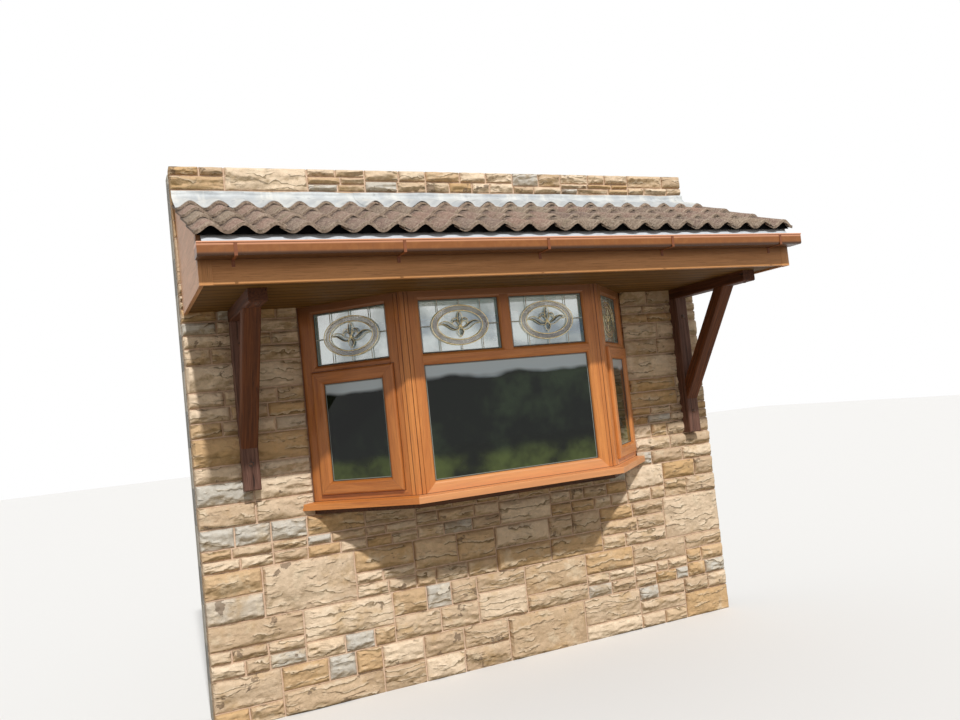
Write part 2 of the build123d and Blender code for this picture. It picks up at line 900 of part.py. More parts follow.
# Gutter clips on the fascia, wrapped under and round the front of the channel
clip_count = int((wall_length / 2) / clip_spacing) * 2 + 1
with BuildPart() as clips:
    for index in range(clip_count):
        x = (index - (clip_count - 1) / 2) * clip_spacing
        with BuildSketch(Plane.YZ.offset(x - clip_width / 2)):
            low = gutter_foot - gutter_gap
            front = gutter_front - gutter_gap
            with BuildLine():
                lip_foot = gutter_top - gutter_lip - gutter_gap
                Polyline(
                    (fascia_face, low),
                    (front, low),
                    (front, lip_foot),
                    (front - clip_thickness, lip_foot),
                    (front - clip_thickness, low - clip_thickness),
                    (fascia_face, low - clip_thickness),
                    close=True,
                )
            make_face()
            with Locations((fascia_face - clip_thickness / 2, low - clip_tail / 2)):
                Rectangle(clip_thickness, clip_tail)
        extrude(amount=clip_width)
write(clips.part, "gutter_clips")

# Gallows brackets: post on the stone, arm under the soffit and brace between them
bracket_lines = (left_bracket, right_bracket)
arm_foot = soffit_underside - arm_height
post_front = stone_face - post_depth
with BuildPart() as posts:
    for x in bracket_lines:
        with BuildSketch(Plane.XY.offset(post_foot)):
            with Locations((x, (stone_face + post_front) / 2)):
                Rectangle(bracket_width, post_depth)
        extrude(amount=arm_foot - post_foot)
    long_edges = posts.edges().filter_by(Axis.Z).group_by(Axis.Y)[0]
    chamfer(long_edges, timber_chamfer)
    foot_edges = posts.faces().group_by(Axis.Z)[0].edges().group_by(Axis.Y)[0]
    chamfer(foot_edges, timber_chamfer)
write(posts.part, "bracket_posts")

with BuildPart() as arms:
    for x in bracket_lines:
        with BuildSketch(Plane.XY.offset(arm_foot)):
            with Locations((x, stone_face - arm_reach / 2)):
                Rectangle(bracket_width, arm_reach)
        extrude(amount=arm_height)
    lower_edges = arms.faces().group_by(Axis.Z)[0].edges().filter_by(Axis.Y)
    chamfer(lower_edges, timber_chamfer)
    end_edges = arms.faces().group_by(Axis.Y)[0].edges().group_by(Axis.Z)[0]
    chamfer(end_edges, timber_chamfer)
write(arms.part, "bracket_arms")

brace_turn = atan2(arm_foot - brace_foot, post_front - brace_head)
with BuildPart() as braces:
    for x in bracket_lines:
        with BuildSketch(Plane.YZ.offset(x - bracket_width / 2)):
            with BuildLine():
                Polyline(
                    (post_front, brace_foot),
                    (post_front, brace_foot + brace_depth / cos(brace_turn)),
                    (brace_head + brace_depth / sin(brace_turn), arm_foot),
                    (brace_head, arm_foot),
                    close=True,
                )
            make_face()
        extrude(amount=bracket_width)
    slope = Axis((0, 0, 0), (0, post_front - brace_head, brace_foot - arm_foot))
    chamfer(braces.edges().filter_by(slope), timber_chamfer)
write(braces.part, "bracket_braces")
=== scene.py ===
import math
from itertools import pairwise, product

import bmesh
import bpy
import numpy as np
from mathutils import Matrix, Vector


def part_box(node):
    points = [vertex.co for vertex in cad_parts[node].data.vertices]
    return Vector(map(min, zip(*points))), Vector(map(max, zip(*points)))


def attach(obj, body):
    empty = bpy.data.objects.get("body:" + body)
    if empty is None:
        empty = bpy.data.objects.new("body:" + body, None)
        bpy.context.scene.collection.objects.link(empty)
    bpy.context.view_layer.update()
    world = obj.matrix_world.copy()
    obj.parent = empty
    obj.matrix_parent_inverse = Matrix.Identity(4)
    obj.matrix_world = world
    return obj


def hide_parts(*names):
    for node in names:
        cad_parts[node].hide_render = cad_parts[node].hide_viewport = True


# Finishes and small repeated pieces of the bay window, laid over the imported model.
# Metres throughout: X along the wall, Y into the house, Z up from the ground.

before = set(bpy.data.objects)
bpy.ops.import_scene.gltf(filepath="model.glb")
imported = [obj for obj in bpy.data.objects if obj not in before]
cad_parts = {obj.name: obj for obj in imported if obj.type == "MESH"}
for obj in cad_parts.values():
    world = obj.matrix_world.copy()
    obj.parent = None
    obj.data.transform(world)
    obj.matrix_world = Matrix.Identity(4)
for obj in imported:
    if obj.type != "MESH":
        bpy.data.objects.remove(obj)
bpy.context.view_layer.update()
sideways, inwards, up = np.eye(3)
print("frame loaded")


def reach(node, direction, hand=0):
    # lowest and highest place of a node along a direction; hand -1 or 1 keeps its left or right part
    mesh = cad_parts[node].data
    flat = np.empty(len(mesh.vertices) * 3)
    mesh.vertices.foreach_get("co", flat)
    rows = flat.reshape(-1, 3)
    places = (rows[rows[:, 0] * hand > 0] if hand else rows) @ direction
    return float(places.min()), float(places.max())


def addObject(name, data):
    made = bpy.data.objects.new(name, data)
    bpy.context.scene.collection.objects.link(made)
    return made


# The photograph's viewpoint, solved from the wall's lines
view = {
    "place": (-2.197, -5.090, 1.657),
    "yaw": 24.16,
    "pitch": 3.07,
    "roll": 5.94,
    "lens": 31.07,
    "sensor": 36.0,
    "farthest": 200.0,
}


def setCamera():
    # columns of the camera's matrix: right, up and back, after the roll
    yaw, pitch, roll = (math.radians(view[key]) for key in ("yaw", "pitch", "roll"))
    ahead = np.array([math.sin(yaw) * math.cos(pitch), math.cos(yaw) * math.cos(pitch), math.sin(pitch)])
    level = np.array([math.cos(yaw), -math.sin(yaw), 0.0])
    upright = np.cross(level, ahead)
    right = math.cos(roll) * level - math.sin(roll) * upright
    top = math.cos(roll) * upright + math.sin(roll) * level
    camera = addObject("camera", bpy.data.cameras.new("camera"))
    camera.data.lens = view["lens"]
    camera.data.sensor_width = view["sensor"]
    camera.data.clip_end = view["farthest"]
    turned = Matrix(np.column_stack([right, top, -ahead]).tolist()).to_4x4()
    camera.matrix_world = Matrix.Translation(view["place"]) @ turned
    bpy.context.scene.camera = camera


def rgb(red, green, blue):
    # a colour as seen on a screen, 0 to 255, turned to the linear values that shaders use
    seen = np.array([red, green, blue]) / 255.0
    linear = np.where(seen <= 0.04045, seen / 12.92, ((seen + 0.055) / 1.055) ** 2.4)
    return (*linear.tolist(), 1.0)


def mathStep(operation):
    # an operator of Value, which adds one Math node
    return lambda value, other=0.0: value.maths(operation, value, other)


class Value:
    # a shader socket that takes part in Python sums: each operator adds its Math node
    def __init__(self, tree, socket=None):
        self.tree, self.socket = tree, socket

    def node(self, kind, settings=None, sockets=None, give=0):
        # adds any other node: its settings first, then its sockets' values or links
        made = self.tree.nodes.new(kind)
        for key, setting in (settings or {}).items():
            setattr(made, key, setting)
        for key, feed in (sockets or {}).items():
            if isinstance(feed, Value):
                self.tree.links.new(feed.socket, made.inputs[key])
            else:
                made.inputs[key].default_value = feed
        return Value(self.tree, made.outputs[give] if len(made.outputs) else None)

    def maths(self, operation, first, second=0.0):
        return self.node("ShaderNodeMath", {"operation": operation}, {0: first, 1: second})

    __add__ = __radd__ = mathStep("ADD")
    __mul__ = __rmul__ = mathStep("MULTIPLY")
    __sub__ = mathStep("SUBTRACT")
    __truediv__ = mathStep("DIVIDE")
    __mod__ = mathStep("FLOORED_MODULO")
    __abs__ = mathStep("ABSOLUTE")
    __gt__ = mathStep("GREATER_THAN")
    __lt__ = mathStep("LESS_THAN")
    least = mathStep("MINIMUM")
    most = mathStep("MAXIMUM")

    def __rsub__(self, other):
        return self.maths("SUBTRACT", other, self)

    def __floordiv__(self, other):
        return self.maths("FLOOR", self / other)

    def rise(self, low, high):
        # 0 below low, 1 above high, with a smooth step between; low may be the higher one
        ends = {"Value": self, "From Min": low, "From Max": high}
        return self.node("ShaderNodeMapRange", {"interpolation_type": "SMOOTHSTEP"}, ends)

    def vectorStep(self, operation, other, give=0):
        return self.node("ShaderNodeVectorMath", {"operation": operation}, {0: self, 1: other}, give)

    def along(self, direction):
        # how far a vector reaches along a direction
        return self.vectorStep("DOT_PRODUCT", tuple(direction), 1)

    def stretched(self, *scales):
        return self.vectorStep("MULTIPLY", scales)

    def shifted(self, *steps):
        return self.vectorStep("ADD", self.vector(*steps))

    def vector(self, *parts):
        return self.node("ShaderNodeCombineXYZ", None, dict(enumerate(parts)))

    def parts(self):
        return [self.node("ShaderNodeSeparateXYZ", None, {0: self}, axis) for axis in range(3)]

    def attribute(self, name, give=2):
        return self.node("ShaderNodeAttribute", {"attribute_name": name}, None, give)

    def noise(self, scale, detail=3.0, roughness=0.55, distortion=0.0):
        sockets = {"Vector": self, "Scale": scale, "Detail": detail}
        sockets.update({"Roughness": roughness, "Distortion": distortion})
        return self.node("ShaderNodeTexNoise", None, sockets)

    def cells(self, scale, feature="F1"):
        return self.node("ShaderNodeTexVoronoi", {"feature": feature}, {"Vector": self, "Scale": scale})

    def mixed(self, *colours):
        # this value is the share of the second colour; three numbers are a colour seen on a screen
        plain = [isinstance(colour, tuple) and len(colour) == 3 for colour in colours]
        first, second = (rgb(*colour) if seen else colour for seen, colour in zip(plain, colours))
        return self.node("ShaderNodeMix", {"data_type": "RGBA"}, {0: self, 6: first, 7: second}, 2)

    def layered(self, *layers):
        # this colour under others: each layer is where it lies, how strongly, and its colour
        base = self
        for where, share, colour in layers:
            base = (where * share).mixed(base, colour)
        return base


def startFinish(name):
    # a new material; gives its Object coordinates
    finish = bpy.data.materials.new(name)
    finish.use_nodes = True
    finish.node_tree.nodes.clear()
    return finish, Value(finish.node_tree).node("ShaderNodeTexCoord", give=3)


def endFinish(finish, place, colour, roughness, height=None, bump=0.001, **sockets):
    # the Principled shader; height is in bump's metres, other sockets are plain constants or links
    feeds = {"Base Color": colour, "Roughness": roughness}
    if height is not None:
        relief = {"Strength": 1.0, "Distance": bump, "Height": height}
        feeds["Normal"] = place.node("ShaderNodeBump", None, relief)
    feeds.update({key.replace("_", " "): feed for key, feed in sockets.items()})
    shader = place.node("ShaderNodeBsdfPrincipled", None, feeds)
    shader.node("ShaderNodeOutputMaterial", None, {"Surface": shader})
    return finish


def mouldedFinish(name, colour, worn, rough, scale=30.0, **sockets):
    # moulded or painted surface: faint mottling, a little dust, an orange-peel skin
    finish, place = startFinish(name)
    mottle = place.noise(scale, 3.0, 0.6)
    peel = place.noise(900.0, 1.0, 0.5)
    base = (mottle.rise(0.4, 0.75) * 0.45).mixed(colour, worn)
    return endFinish(finish, place, base, mottle * 0.12 + rough - 0.05, peel, 0.00012, **sockets)


# Floor, round light and sun of a plain studio
studio = {
    "floorSize": 60.0,
    "floorSeen": (0.80, 0.79, 0.77, 1.0),
    "floorBounce": (0.29, 0.26, 0.21, 1.0),
    "floorRough": 0.9,
    "roundLight": 0.52,
    "sunStrength": 2.75,
    "sunTurn": 4.0,
    "sunHeight": 44.9,
    "sunSoftness": 2.0,
}


def seenDirectly(place):
    # 1 for the rays of the camera, of mirrors and of glass
    rays = ("Is Camera Ray", "Is Glossy Ray", "Is Transmission Ray")
    camera, glossy, through = (place.node("ShaderNodeLightPath", give=ray) for ray in rays)
    return camera.most(glossy).most(through)


def setStudio():
    bpy.context.scene.view_settings.view_transform = "Standard"
    world = bpy.data.worlds.new("studio")
    world.use_nodes = True
    world.node_tree.nodes.clear()
    start = Value(world.node_tree)
    strength = seenDirectly(start) * (1.0 - studio["roundLight"]) + studio["roundLight"]
    light = start.node("ShaderNodeBackground", None, {"Color": (1, 1, 1, 1), "Strength": strength})
    light.node("ShaderNodeOutputWorld", None, {"Surface": light})
    bpy.context.scene.world = world

    half = studio["floorSize"] / 2
    mesh = bpy.data.meshes.new("floor")
    edge = [(-half, -half, 0), (half, -half, 0), (half, half, 0), (-half, half, 0)]
    mesh.from_pydata(edge, [], [(0, 1, 2, 3)])
    floor = addObject("floor", mesh)
    finish, place = startFinish("paleFloor")
    colour = seenDirectly(place).mixed(studio["floorBounce"], studio["floorSeen"])
    mesh.materials.append(endFinish(finish, place, colour, studio["floorRough"]))

    lamp = bpy.data.lights.new("sun", "SUN")
    lamp.energy = studio["sunStrength"]
    lamp.angle = math.radians(studio["sunSoftness"])
    turn, tilt = math.radians(-studio["sunTurn"]), math.radians(90.0 - studio["sunHeight"])
    addObject("sun", lamp).matrix_world = Matrix.Rotation(turn, 4, "Z") @ Matrix.Rotation(tilt, 4, "X")


setCamera()
setStudio()
print("camera and studio set")


def gridFaces(rows, columns, wrapRows=False, wrapColumns=False):
    # four-sided faces between the neighbouring points of a grid
    index = np.arange(rows * columns).reshape(rows, columns)
    index = np.vstack([index, index[:1]]) if wrapRows else index
    index = np.hstack([index, index[:, :1]]) if wrapColumns else index
    ring = [index[:-1, :-1], index[:-1, 1:], index[1:, 1:], index[1:, :-1]]
    return np.stack(ring, axis=-1).reshape(-1, 4)


def repeatedFaces(faces, pointCount, copies):
    # the same faces again for each copy of a grid
    steps = np.arange(copies) * pointCount
    return (faces[None] + steps[:, None, None]).reshape(-1, faces.shape[1])


def joinGrids(grids):
    # several grids of points as one mesh; each comes with whether its rows and columns close up
    points, faces, total = [], [], 0
    for grid, wrapRows, wrapColumns in grids:
        rows, columns = grid.shape[:2]
        points.append(grid.reshape(-1, 3))
        faces.append(gridFaces(rows, columns, wrapRows, wrapColumns) + total)
        total += rows * columns
    return np.concatenate(points), np.concatenate(faces)


def ribbon(path, out, half, profile, loop=False):
    # A profile of (across, out) points carried along a path that lies square to out. At each
    # point across is the mean of its two runs' normals, longer by one over the cosine of half
    # their turn, so that corners are mitred exactly. The least sizes keep a sharp turn in bounds.
    path, profile = np.asarray(path, dtype=float), np.asarray(profile, dtype=float)
    runs = np.diff(np.vstack([path, path[:1]]) if loop else path, axis=0)
    sides = np.cross(out, runs)
    sides /= np.linalg.norm(sides, axis=1)[:, None]
    before = np.roll(sides, 1, axis=0) if loop else np.vstack([sides[:1], sides])
    after = sides if loop else np.vstack([sides, sides[-1:]])
    across = before + after
    across /= np.maximum(np.linalg.norm(across, axis=1), 0.3)[:, None]
    across /= np.maximum((across * after).sum(axis=1), 0.45)[:, None]
    steps = across[:, None] * (half * profile[:, :1])
    return path[:, None] + steps + profile[:, 1:] * np.asarray(out), loop, True


def circle(sides):
    # cosines and sines of even steps round a circle
    turn = np.arange(sides) / sides * 2 * math.pi
    return np.cos(turn), np.sin(turn)


def turnedPiece(centre, axis, radii, depths, sides=20):
    # a profile of radii and depths turned round an axis through centre
    axis = np.asarray(axis, dtype=float)
    first = np.cross(axis, (0.31, 0.74, 0.60))
    first /= np.linalg.norm(first)
    cosines, sines = circle(sides)
    ring = cosines[:, None] * first + sines[:, None] * np.cross(axis, first)
    grid = np.asarray(radii)[:, None, None] * ring + np.asarray(depths)[:, None, None] * axis
    return grid + np.asarray(centre), False, True


def domeProfile(rise, base=-0.0003, steps=7):
    # half an ellipse over a flat base, as (across, out) points
    turn = np.linspace(0, math.pi, steps)
    arc = np.column_stack([np.cos(turn), rise * np.sin(turn)])
    return np.vstack([arc, [[-1.0, base], [1.0, base]]])


def bezier(points, steps=17):
    # a cubic curve from its four control points
    t = np.linspace(0, 1, steps)[:, None]
    a, b, c, d = np.asarray(points, dtype=float)
    return a * (1 - t) ** 3 + 3 * b * t * (1 - t) ** 2 + 3 * c * t**2 * (1 - t) + d * t**3


def makePiece(name, points, faces, finish, slotName=None, smoothAngle=40.0, values=None):
    # one mesh at the origin that rides on the root; open ends are filled and faces turned outwards
    points = points.reshape(-1, 3)
    mesh = bpy.data.meshes.new(name)
    mesh.vertices.add(len(points))
    mesh.vertices.foreach_set("co", points.ravel())
    mesh.loops.add(faces.size)
    mesh.loops.foreach_set("vertex_index", faces.ravel().astype(np.int32))
    mesh.polygons.add(len(faces))
    mesh.polygons.foreach_set("loop_start", np.arange(0, faces.size, faces.shape[1], dtype=np.int32))
    mesh.update(calc_edges=True)
    for key, rows in (values or {}).items():
        kind, part = ("FLOAT_VECTOR", "vector") if rows.ndim > 1 else ("FLOAT", "value")
        mesh.attributes.new(key, kind, "POINT").data.foreach_set(part, rows.ravel())
    shell = bmesh.new()
    shell.from_mesh(mesh)
    bmesh.ops.holes_fill(shell, edges=[edge for edge in shell.edges if edge.is_boundary], sides=0)
    bmesh.ops.recalc_face_normals(shell, faces=shell.faces)
    shell.to_mesh(mesh)
    shell.free()
    mesh.shade_smooth()
    mesh.set_sharp_from_angle(angle=math.radians(smoothAngle))
    mesh.materials.append(finish)
    piece = addObject(name, mesh)
    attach(piece, "root")
    return piece


# Rock-faced stones in random courses, and the mortar that they are bedded in. Waves are rows of
# share, number, length along X and length along Z; other pairs are ranges to draw from, or a size
# and how far it may spread.
stonework = {
    "joint": 0.009,
    "arris": 0.007,
    "mortar": 0.0115,
    "relief": 0.030,
    "leastRelief": 0.0012,
    "pitchedEdge": 0.006,
    "depth": 0.104,
    "mortarInset": 0.002,
    "bands": (0.262, 0.14),
    "cells": (0.46, 0.42),
    "patterns": ((0.0,), (0.0, 0.36), (0.0, 0.62), (0.0, 0.5), (0.0, 0.33, 0.66), (0.0, 0.28, 0.52)),
    "likely": (0.08, 0.20, 0.20, 0.17, 0.20, 0.15),
    "lengthToHeight": (1.4, 3.2),
    "shortest": 0.17,
    "cutSpread": 0.38,
    "columns": 25,
    "rows": 13,
    "levels": (0.62, 1.0),
    "leansX": (-0.09, 0.09),
    "leansZ": (-0.05, 0.16),
    "breaks": (0.02, 0.62),
    "breakWaves": ((0.30, 5, 0.16, 1.0), (0.16, 5, 0.045, 1.0)),
    "breakDepth": 0.42,
    "drops": (0.35, 0.95),
    "bedWaves": ((0.26, 7, 0.19, 0.040), (0.16, 9, 0.06, 0.024)),
    "edgeWaves": ((0.003, 9, 0.09, 0.09),),
    "leadBelow": 0.30,
    "flatUnderLead": 0.30,
    "seed": 7,
}
stoneFace, stoneBack = reach("stone_below", inwards)
wallLeft, wallRight = reach("stone_below", sideways)
wallTop = reach("stone_above", up)[1]
openingFoot, openingHead = reach("stone_piers", up)
revealLeft = reach("stone_piers", sideways, -1)[1]
revealRight = reach("stone_piers", sideways, 1)[0]
lintelTop = reach("lintel", up)[1]
lintelLeft, lintelRight = reach("lintel", sideways)
leadTop = reach("lead_flashing", up)[1]


def splitEvenly(chance, low, high, piece, spread):
    # marks between low and high, about piece apart, each step up to spread longer or shorter
    count = max(1, round((high - low) / piece))
    steps = 1.0 + chance.uniform(-spread, spread, count)
    return low + np.concatenate([[0.0], np.cumsum(steps)]) / steps.sum() * (high - low)


def layCourses(chance, left, right, foot, head):
    # Bands of stone. Each cell of a band is one jumper, or two or three thinner rows, and each row
    # is cut into stones about two to three times as long as they are high.
    stones = []
    patterns = stonework["patterns"]
    for low, high in pairwise(splitEvenly(chance, foot, head, *stonework["bands"])):
        for start, end in pairwise(splitEvenly(chance, left, right, *stonework["cells"])):
            shares = patterns[chance.choice(len(patterns), p=stonework["likely"])]
            rows = [low + (high - low) * share for share in shares] + [high]
            for bottom, top in pairwise(rows):
                length = (top - bottom) * chance.uniform(*stonework["lengthToHeight"])
                length = max(length, stonework["shortest"])
                cuts = splitEvenly(chance, start, end, length, stonework["cutSpread"])
                stones += [(*ends, bottom, top) for ends in pairwise(cuts)]
    return np.array(stones)


def ripple(chance, x, z, waves, lengthX, lengthZ):
    # even noise: the mean of sine waves of random direction, about lengthX by lengthZ in size
    x, z = x / lengthX * 2 * math.pi, z / lengthZ * 2 * math.pi
    total = 0.0
    for _ in range(waves):
        turn, start = chance.uniform(0, 2 * math.pi, 3)[:2]
        total = total + np.sin(x * math.cos(turn) + z * math.sin(turn) + start)
    return total / waves


def easedSteps(count):
    # from 0 to 1, closer together near both ends
    even = np.linspace(0, 1, count)
    return 0.5 * even + 0.5 * (0.5 - 0.5 * np.cos(math.pi * even))


def makeStones(name, node, rectangles, chance):
    # Each stone's face is a grid. Its upper part stands proud as the least of three tilted planes,
    # and below a wandering break line it scoops back towards the lower arris. Level beds of ripple
    # are added, and all of it is scaled by a rise from the edges inwards. One more ring of points
    # takes the sides back into the wall.
    count, relief, gap = len(rectangles), stonework["relief"], stonework["joint"] / 2

    def draw(key):
        return chance.uniform(*stonework[key], (count, 1, 1))

    def waves(key, x, z):
        return sum(share * ripple(chance, x, z, *sizes) for share, *sizes in stonework[key])

    left, right, foot, head = rectangles.T[..., None, None]
    left = left + gap * (left > wallLeft + gap)
    right = right - gap * (right < wallRight - gap)
    foot = foot + gap * (foot > gap)
    head = head - gap * (head < wallTop - gap)
    x = left + (right - left) * easedSteps(stonework["columns"])
    z = foot + (head - foot) * easedSteps(stonework["rows"])[:, None]
    x, z = np.broadcast_arrays(x, z)
    edge = np.minimum.reduce([x - left, right - x, z - foot, (head - z) * 0.8])
    rise = 1.0 - np.exp(-edge / stonework["pitchedEdge"])

    planes = []
    for _ in range(3):
        level, leanX, leanZ = draw("levels"), draw("leansX"), draw("leansZ")
        planes.append(level * relief + leanX * (x - (left + right) / 2) + leanZ * (z - (foot + head) / 2))
    breakLine = draw("breaks") + waves("breakWaves", x, z * 0)
    below = np.clip((breakLine - (z - foot) / (head - foot)) / stonework["breakDepth"], 0, 1)
    drop = draw("drops") * below**0.55
    height = np.minimum.reduce(planes) * (1 - drop) + waves("bedWaves", x, z) * relief
    height = rise * np.clip(height, stonework["leastRelief"], relief)
    flat = (head > leadTop - stonework["leadBelow"]) & (head < leadTop)
    height = np.where(flat, height * stonework["flatUnderLead"], height)
    # how steeply the face turns downwards; the finish paints shade with dirt there
    under = np.clip(np.gradient(height, axis=1) / np.gradient(z, axis=1) * 1.8, 0, 1)
    wander = waves("edgeWaves", x, z) * (1 - rise)
    front = np.stack([x + wander, stoneFace + stonework["arris"] - height, z + wander * 0.7], axis=-1)

    wider = ((0, 0), (1, 1), (1, 1))
    points = np.pad(front, (*wider, (0, 0)), "edge")
    ring = np.ones(points.shape[1:3], dtype=bool)
    ring[1:-1, 1:-1] = False
    points[:, ring, 1] = stoneFace + stonework["depth"]
    faces = repeatedFaces(gridFaces(*ring.shape), ring.size, count)
    values = {
        "stoneTone": np.broadcast_to(chance.random((count, 1, 1, 3)), points.shape).reshape(-1, 3),
        "stoneRelief": np.pad(height / relief, wider, "edge").ravel(),
        "stoneUnder": np.pad(under, wider, "edge").ravel(),
    }
    piece = makePiece(name, points, faces, rockFace, "sandstone", 34.0, values=values)
    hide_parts(node)


def makeMortar(name, boxes):
    # the wall's leaf behind the stones' arrises, as plain boxes a little short of its ends
    inset = stonework["mortarInset"]
    cube = np.array(list(product((0.0, 1.0), repeat=3)))
    sides = np.array([[0, 1, 3, 2], [4, 6, 7, 5], [0, 4, 5, 1], [2, 3, 7, 6], [0, 2, 6, 4], [1, 5, 7, 3]])
    points = []
    for left, right, foot, head in boxes:
        low = np.array([max(left, wallLeft + inset), stoneFace + stonework["mortar"], foot])
        high = np.array([min(right, wallRight - inset), stoneBack, min(head, wallTop - inset)])
        points.append(low + cube * (high - low))
    faces = repeatedFaces(sides, len(cube), len(boxes))
    makePiece(name, np.concatenate(points), faces, mortar, "sandstone", 30.0)


def rockFaceFinish():
    # Buff sandstone. Level ledges are a saw wave of the height, warped by noise: each lip has a
    # painted highlight, and the crevice under it painted olive-brown shade with dirt. They show in
    # patches only. Faces turned downwards take painted shade with dirt, and the low parts near the
    # joints painted shade. Each stone has its own mix of cream, straw, ochre and pale grey, with iron
    # stains, dark scabs and a sandy grain.
    finish, place = startFinish("rockFacedSandstone")
    tone = place.attribute("stoneTone", 1).parts()
    under = place.attribute("stoneUnder").rise(0.16, 0.85)
    own = place.shifted(tone[0] * 7.0, tone[1] * 9.0, tone[2] * 11.0)
    broad = own.stretched(1.0, 1.0, 1.7).noise(6.0)
    small = own.noise(31.0, 4.0, 0.62)
    step = (own.along(up) + broad * 0.13 + small * 0.014) / (tone[1] * 0.034 + 0.036) % 1.0
    shown = own.stretched(1.0, 1.0, 2.2).noise(4.6, 3.0, 0.6).rise(0.47, 0.56)
    grain = place.noise(430.0, 2.0, 0.7)
    pits = place.cells(105.0).rise(0.26, 0.08) * own.noise(8.0, 2.0).rise(0.48, 0.60)
    scab = own.noise(7.5, 4.0, 0.7).rise(0.635, 0.665)
    base = tone[0].rise(0.05, 0.95).mixed((244, 220, 190), (210, 182, 150)).layered(
        (tone[1].rise(0.66, 0.98), 1.0, (214, 176, 128)),
        (tone[2].rise(0.90, 0.93), 1.0, (212, 206, 194)),
        (own.noise(5.5, 4.0, 0.6).rise(0.52, 0.70), 0.50, (194, 156, 100)),
        (own.noise(9.0, 4.0, 0.6).rise(0.55, 0.68), 0.45, (232, 214, 184)),
        # painted shade, with dirt, on parts that face downwards
        (under, small.rise(0.34, 0.58) * 0.42 + 0.22, (132, 106, 60)),
        # painted shade with dirt in the crevice under each ledge
        (step.rise(0.74, 0.97) * shown, 0.82, (98, 78, 44)),
        # painted highlight on each ledge's lip
        (step.rise(0.30, 0.02) * shown, 0.45, (246, 230, 204)),
        (small.rise(0.60, 0.44), 0.18, (150, 128, 92)),
        (scab, 0.72, (116, 96, 78)),
        # painted shade on the low parts near the joints
        (place.attribute("stoneRelief").rise(0.14, 0.0), 0.40, (150, 118, 86)),
        (grain.rise(0.38, 0.75), 0.20, (130, 108, 76)),
    )
    chips = own.stretched(1.0, 1.0, 1.5).cells(26.0) * own.noise(9.0, 2.0).rise(0.42, 0.60)
    height = (1.0 - step) * shown * 0.80 + small * 0.60 + broad * 0.5 - chips * 0.35
    height = height - pits * 0.25 - scab * 0.2 + grain * 0.05
    return endFinish(finish, place, base, grain * 0.1 + 0.84, height, 0.013)


def mortarFinish():
    # pinkish sand mortar: coarse sand, trowel drags and a little staining
    finish, place = startFinish("sandMortar")
    sand = place.noise(600.0, 2.0, 0.7)
    drag = place.noise(38.0, 4.0, 0.6)
    base = drag.rise(0.3, 0.7).mixed((232, 204, 178), (208, 178, 150)).layered(
        (place.noise(5.0).rise(0.55, 0.75), 0.4, (178, 148, 120)),
        (sand.rise(0.4, 0.8), 0.20, (134, 108, 88)),
    )
    return endFinish(finish, place, base, 0.92, drag * 0.7 + sand * 0.25, 0.003)


rockFace = rockFaceFinish()
mortar = mortarFinish()


def buildStonework():
    # stretches of wall as left, right, foot and head; the courses start afresh at the lead's top
    chance = np.random.default_rng(stonework["seed"])
    stretches = {
        "below": [(wallLeft, wallRight, 0.0, openingFoot)],
        "beside": [
            (wallLeft, revealLeft, openingFoot, openingHead),
            (revealRight, wallRight, openingFoot, openingHead),
        ],
        "above": [
            (wallLeft, lintelLeft, openingHead, lintelTop),
            (lintelRight, wallRight, openingHead, lintelTop),
            (wallLeft, wallRight, lintelTop, wallTop),
        ],
    }
    laid = {}
    for part, boxes in stretches.items():
        rows = []
        for left, right, foot, head in boxes:
            levels = [foot, leadTop, head] if foot < leadTop < head else [foot, head]
            rows += [layCourses(chance, left, right, *ends) for ends in pairwise(levels)]
        laid[part] = np.concatenate(rows)
    for part, node in (("below", "stone_below"), ("beside", "stone_piers"), ("above", "stone_above")):
        makeStones(f"stones_{part}", node, laid[part], chance)
    for part, boxes in stretches.items():
        makeMortar(f"mortar_{part}", boxes)


buildStonework()
print("stonework laid")


# Double pantiles, lapped and broken-bonded
pantile = {
    "pitch": math.radians(21.5),
    "gauge": 0.280,
    "headLap": 0.075,
    "wave": 0.150,
    "waveHeight": 0.040,
    "thickness": 0.011,
    "lapGap": 0.0003,
    "courses": 4,
    "cover": 0.300,
    "columnsPerWave": 12,
    "lapPastCrest": 0.044,
    "lapUnder": 0.024,
    "lapLift": 0.0065,
    "lapRun": 0.05,
    "lapDrop": 0.0075,
    "notch": 0.020,
    "slip": (-0.002, 0.003),
    "wear": 0.0008,
    "stations": (0.0, 0.0015, 0.006, 0.022, 0.10, 0.20, 0.30),
    "noseShares": (0.68, 0.86, 1.0),
    "noseSwell": 0.0035,
    "noseLength": 0.022,
    "eavesSwell": 0.004,
    "gapWidth": 0.030,
    "gapDepth": 0.012,
    "gapSink": 0.0065,
    "seed": 23,
}
# The comb behind the lowest noses, and the verges
eaves = {
    "back": 0.030,
    "inset": 0.014,
    "points": 573,
    "clear": 0.0012,
    "teeth": 0.002,
    "thickness": 0.003,
    "foot": 0.012,
    "verge": (0.001, 0.019),
    "vergeEnd": 0.006,
}
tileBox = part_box("tile_courses")
tileTurn = math.atan2(math.pi * pantile["waveHeight"], pantile["wave"])
tileLean = math.asin((pantile["thickness"] / math.cos(tileTurn) + pantile["lapGap"]) / pantile["gauge"])
tilePitch = pantile["pitch"] - tileLean
tileUp = np.array([0.0, math.cos(tilePitch), math.sin(tilePitch)])
tileOut = np.array([0.0, -math.sin(tilePitch), math.cos(tilePitch)])
roofUp = np.array([0.0, math.cos(pantile["pitch"]), math.sin(pantile["pitch"])])


def courseTail(index):
    # middle of the wave at a course's lower edge
    middle = (pantile["waveHeight"] / 2 + pantile["thickness"] / 2) / math.cos(tilePitch)
    first = np.array([0.0, tileBox[0].y, reach("tile_courses", up)[0] + middle])
    return first + roofUp * pantile["gauge"] * index


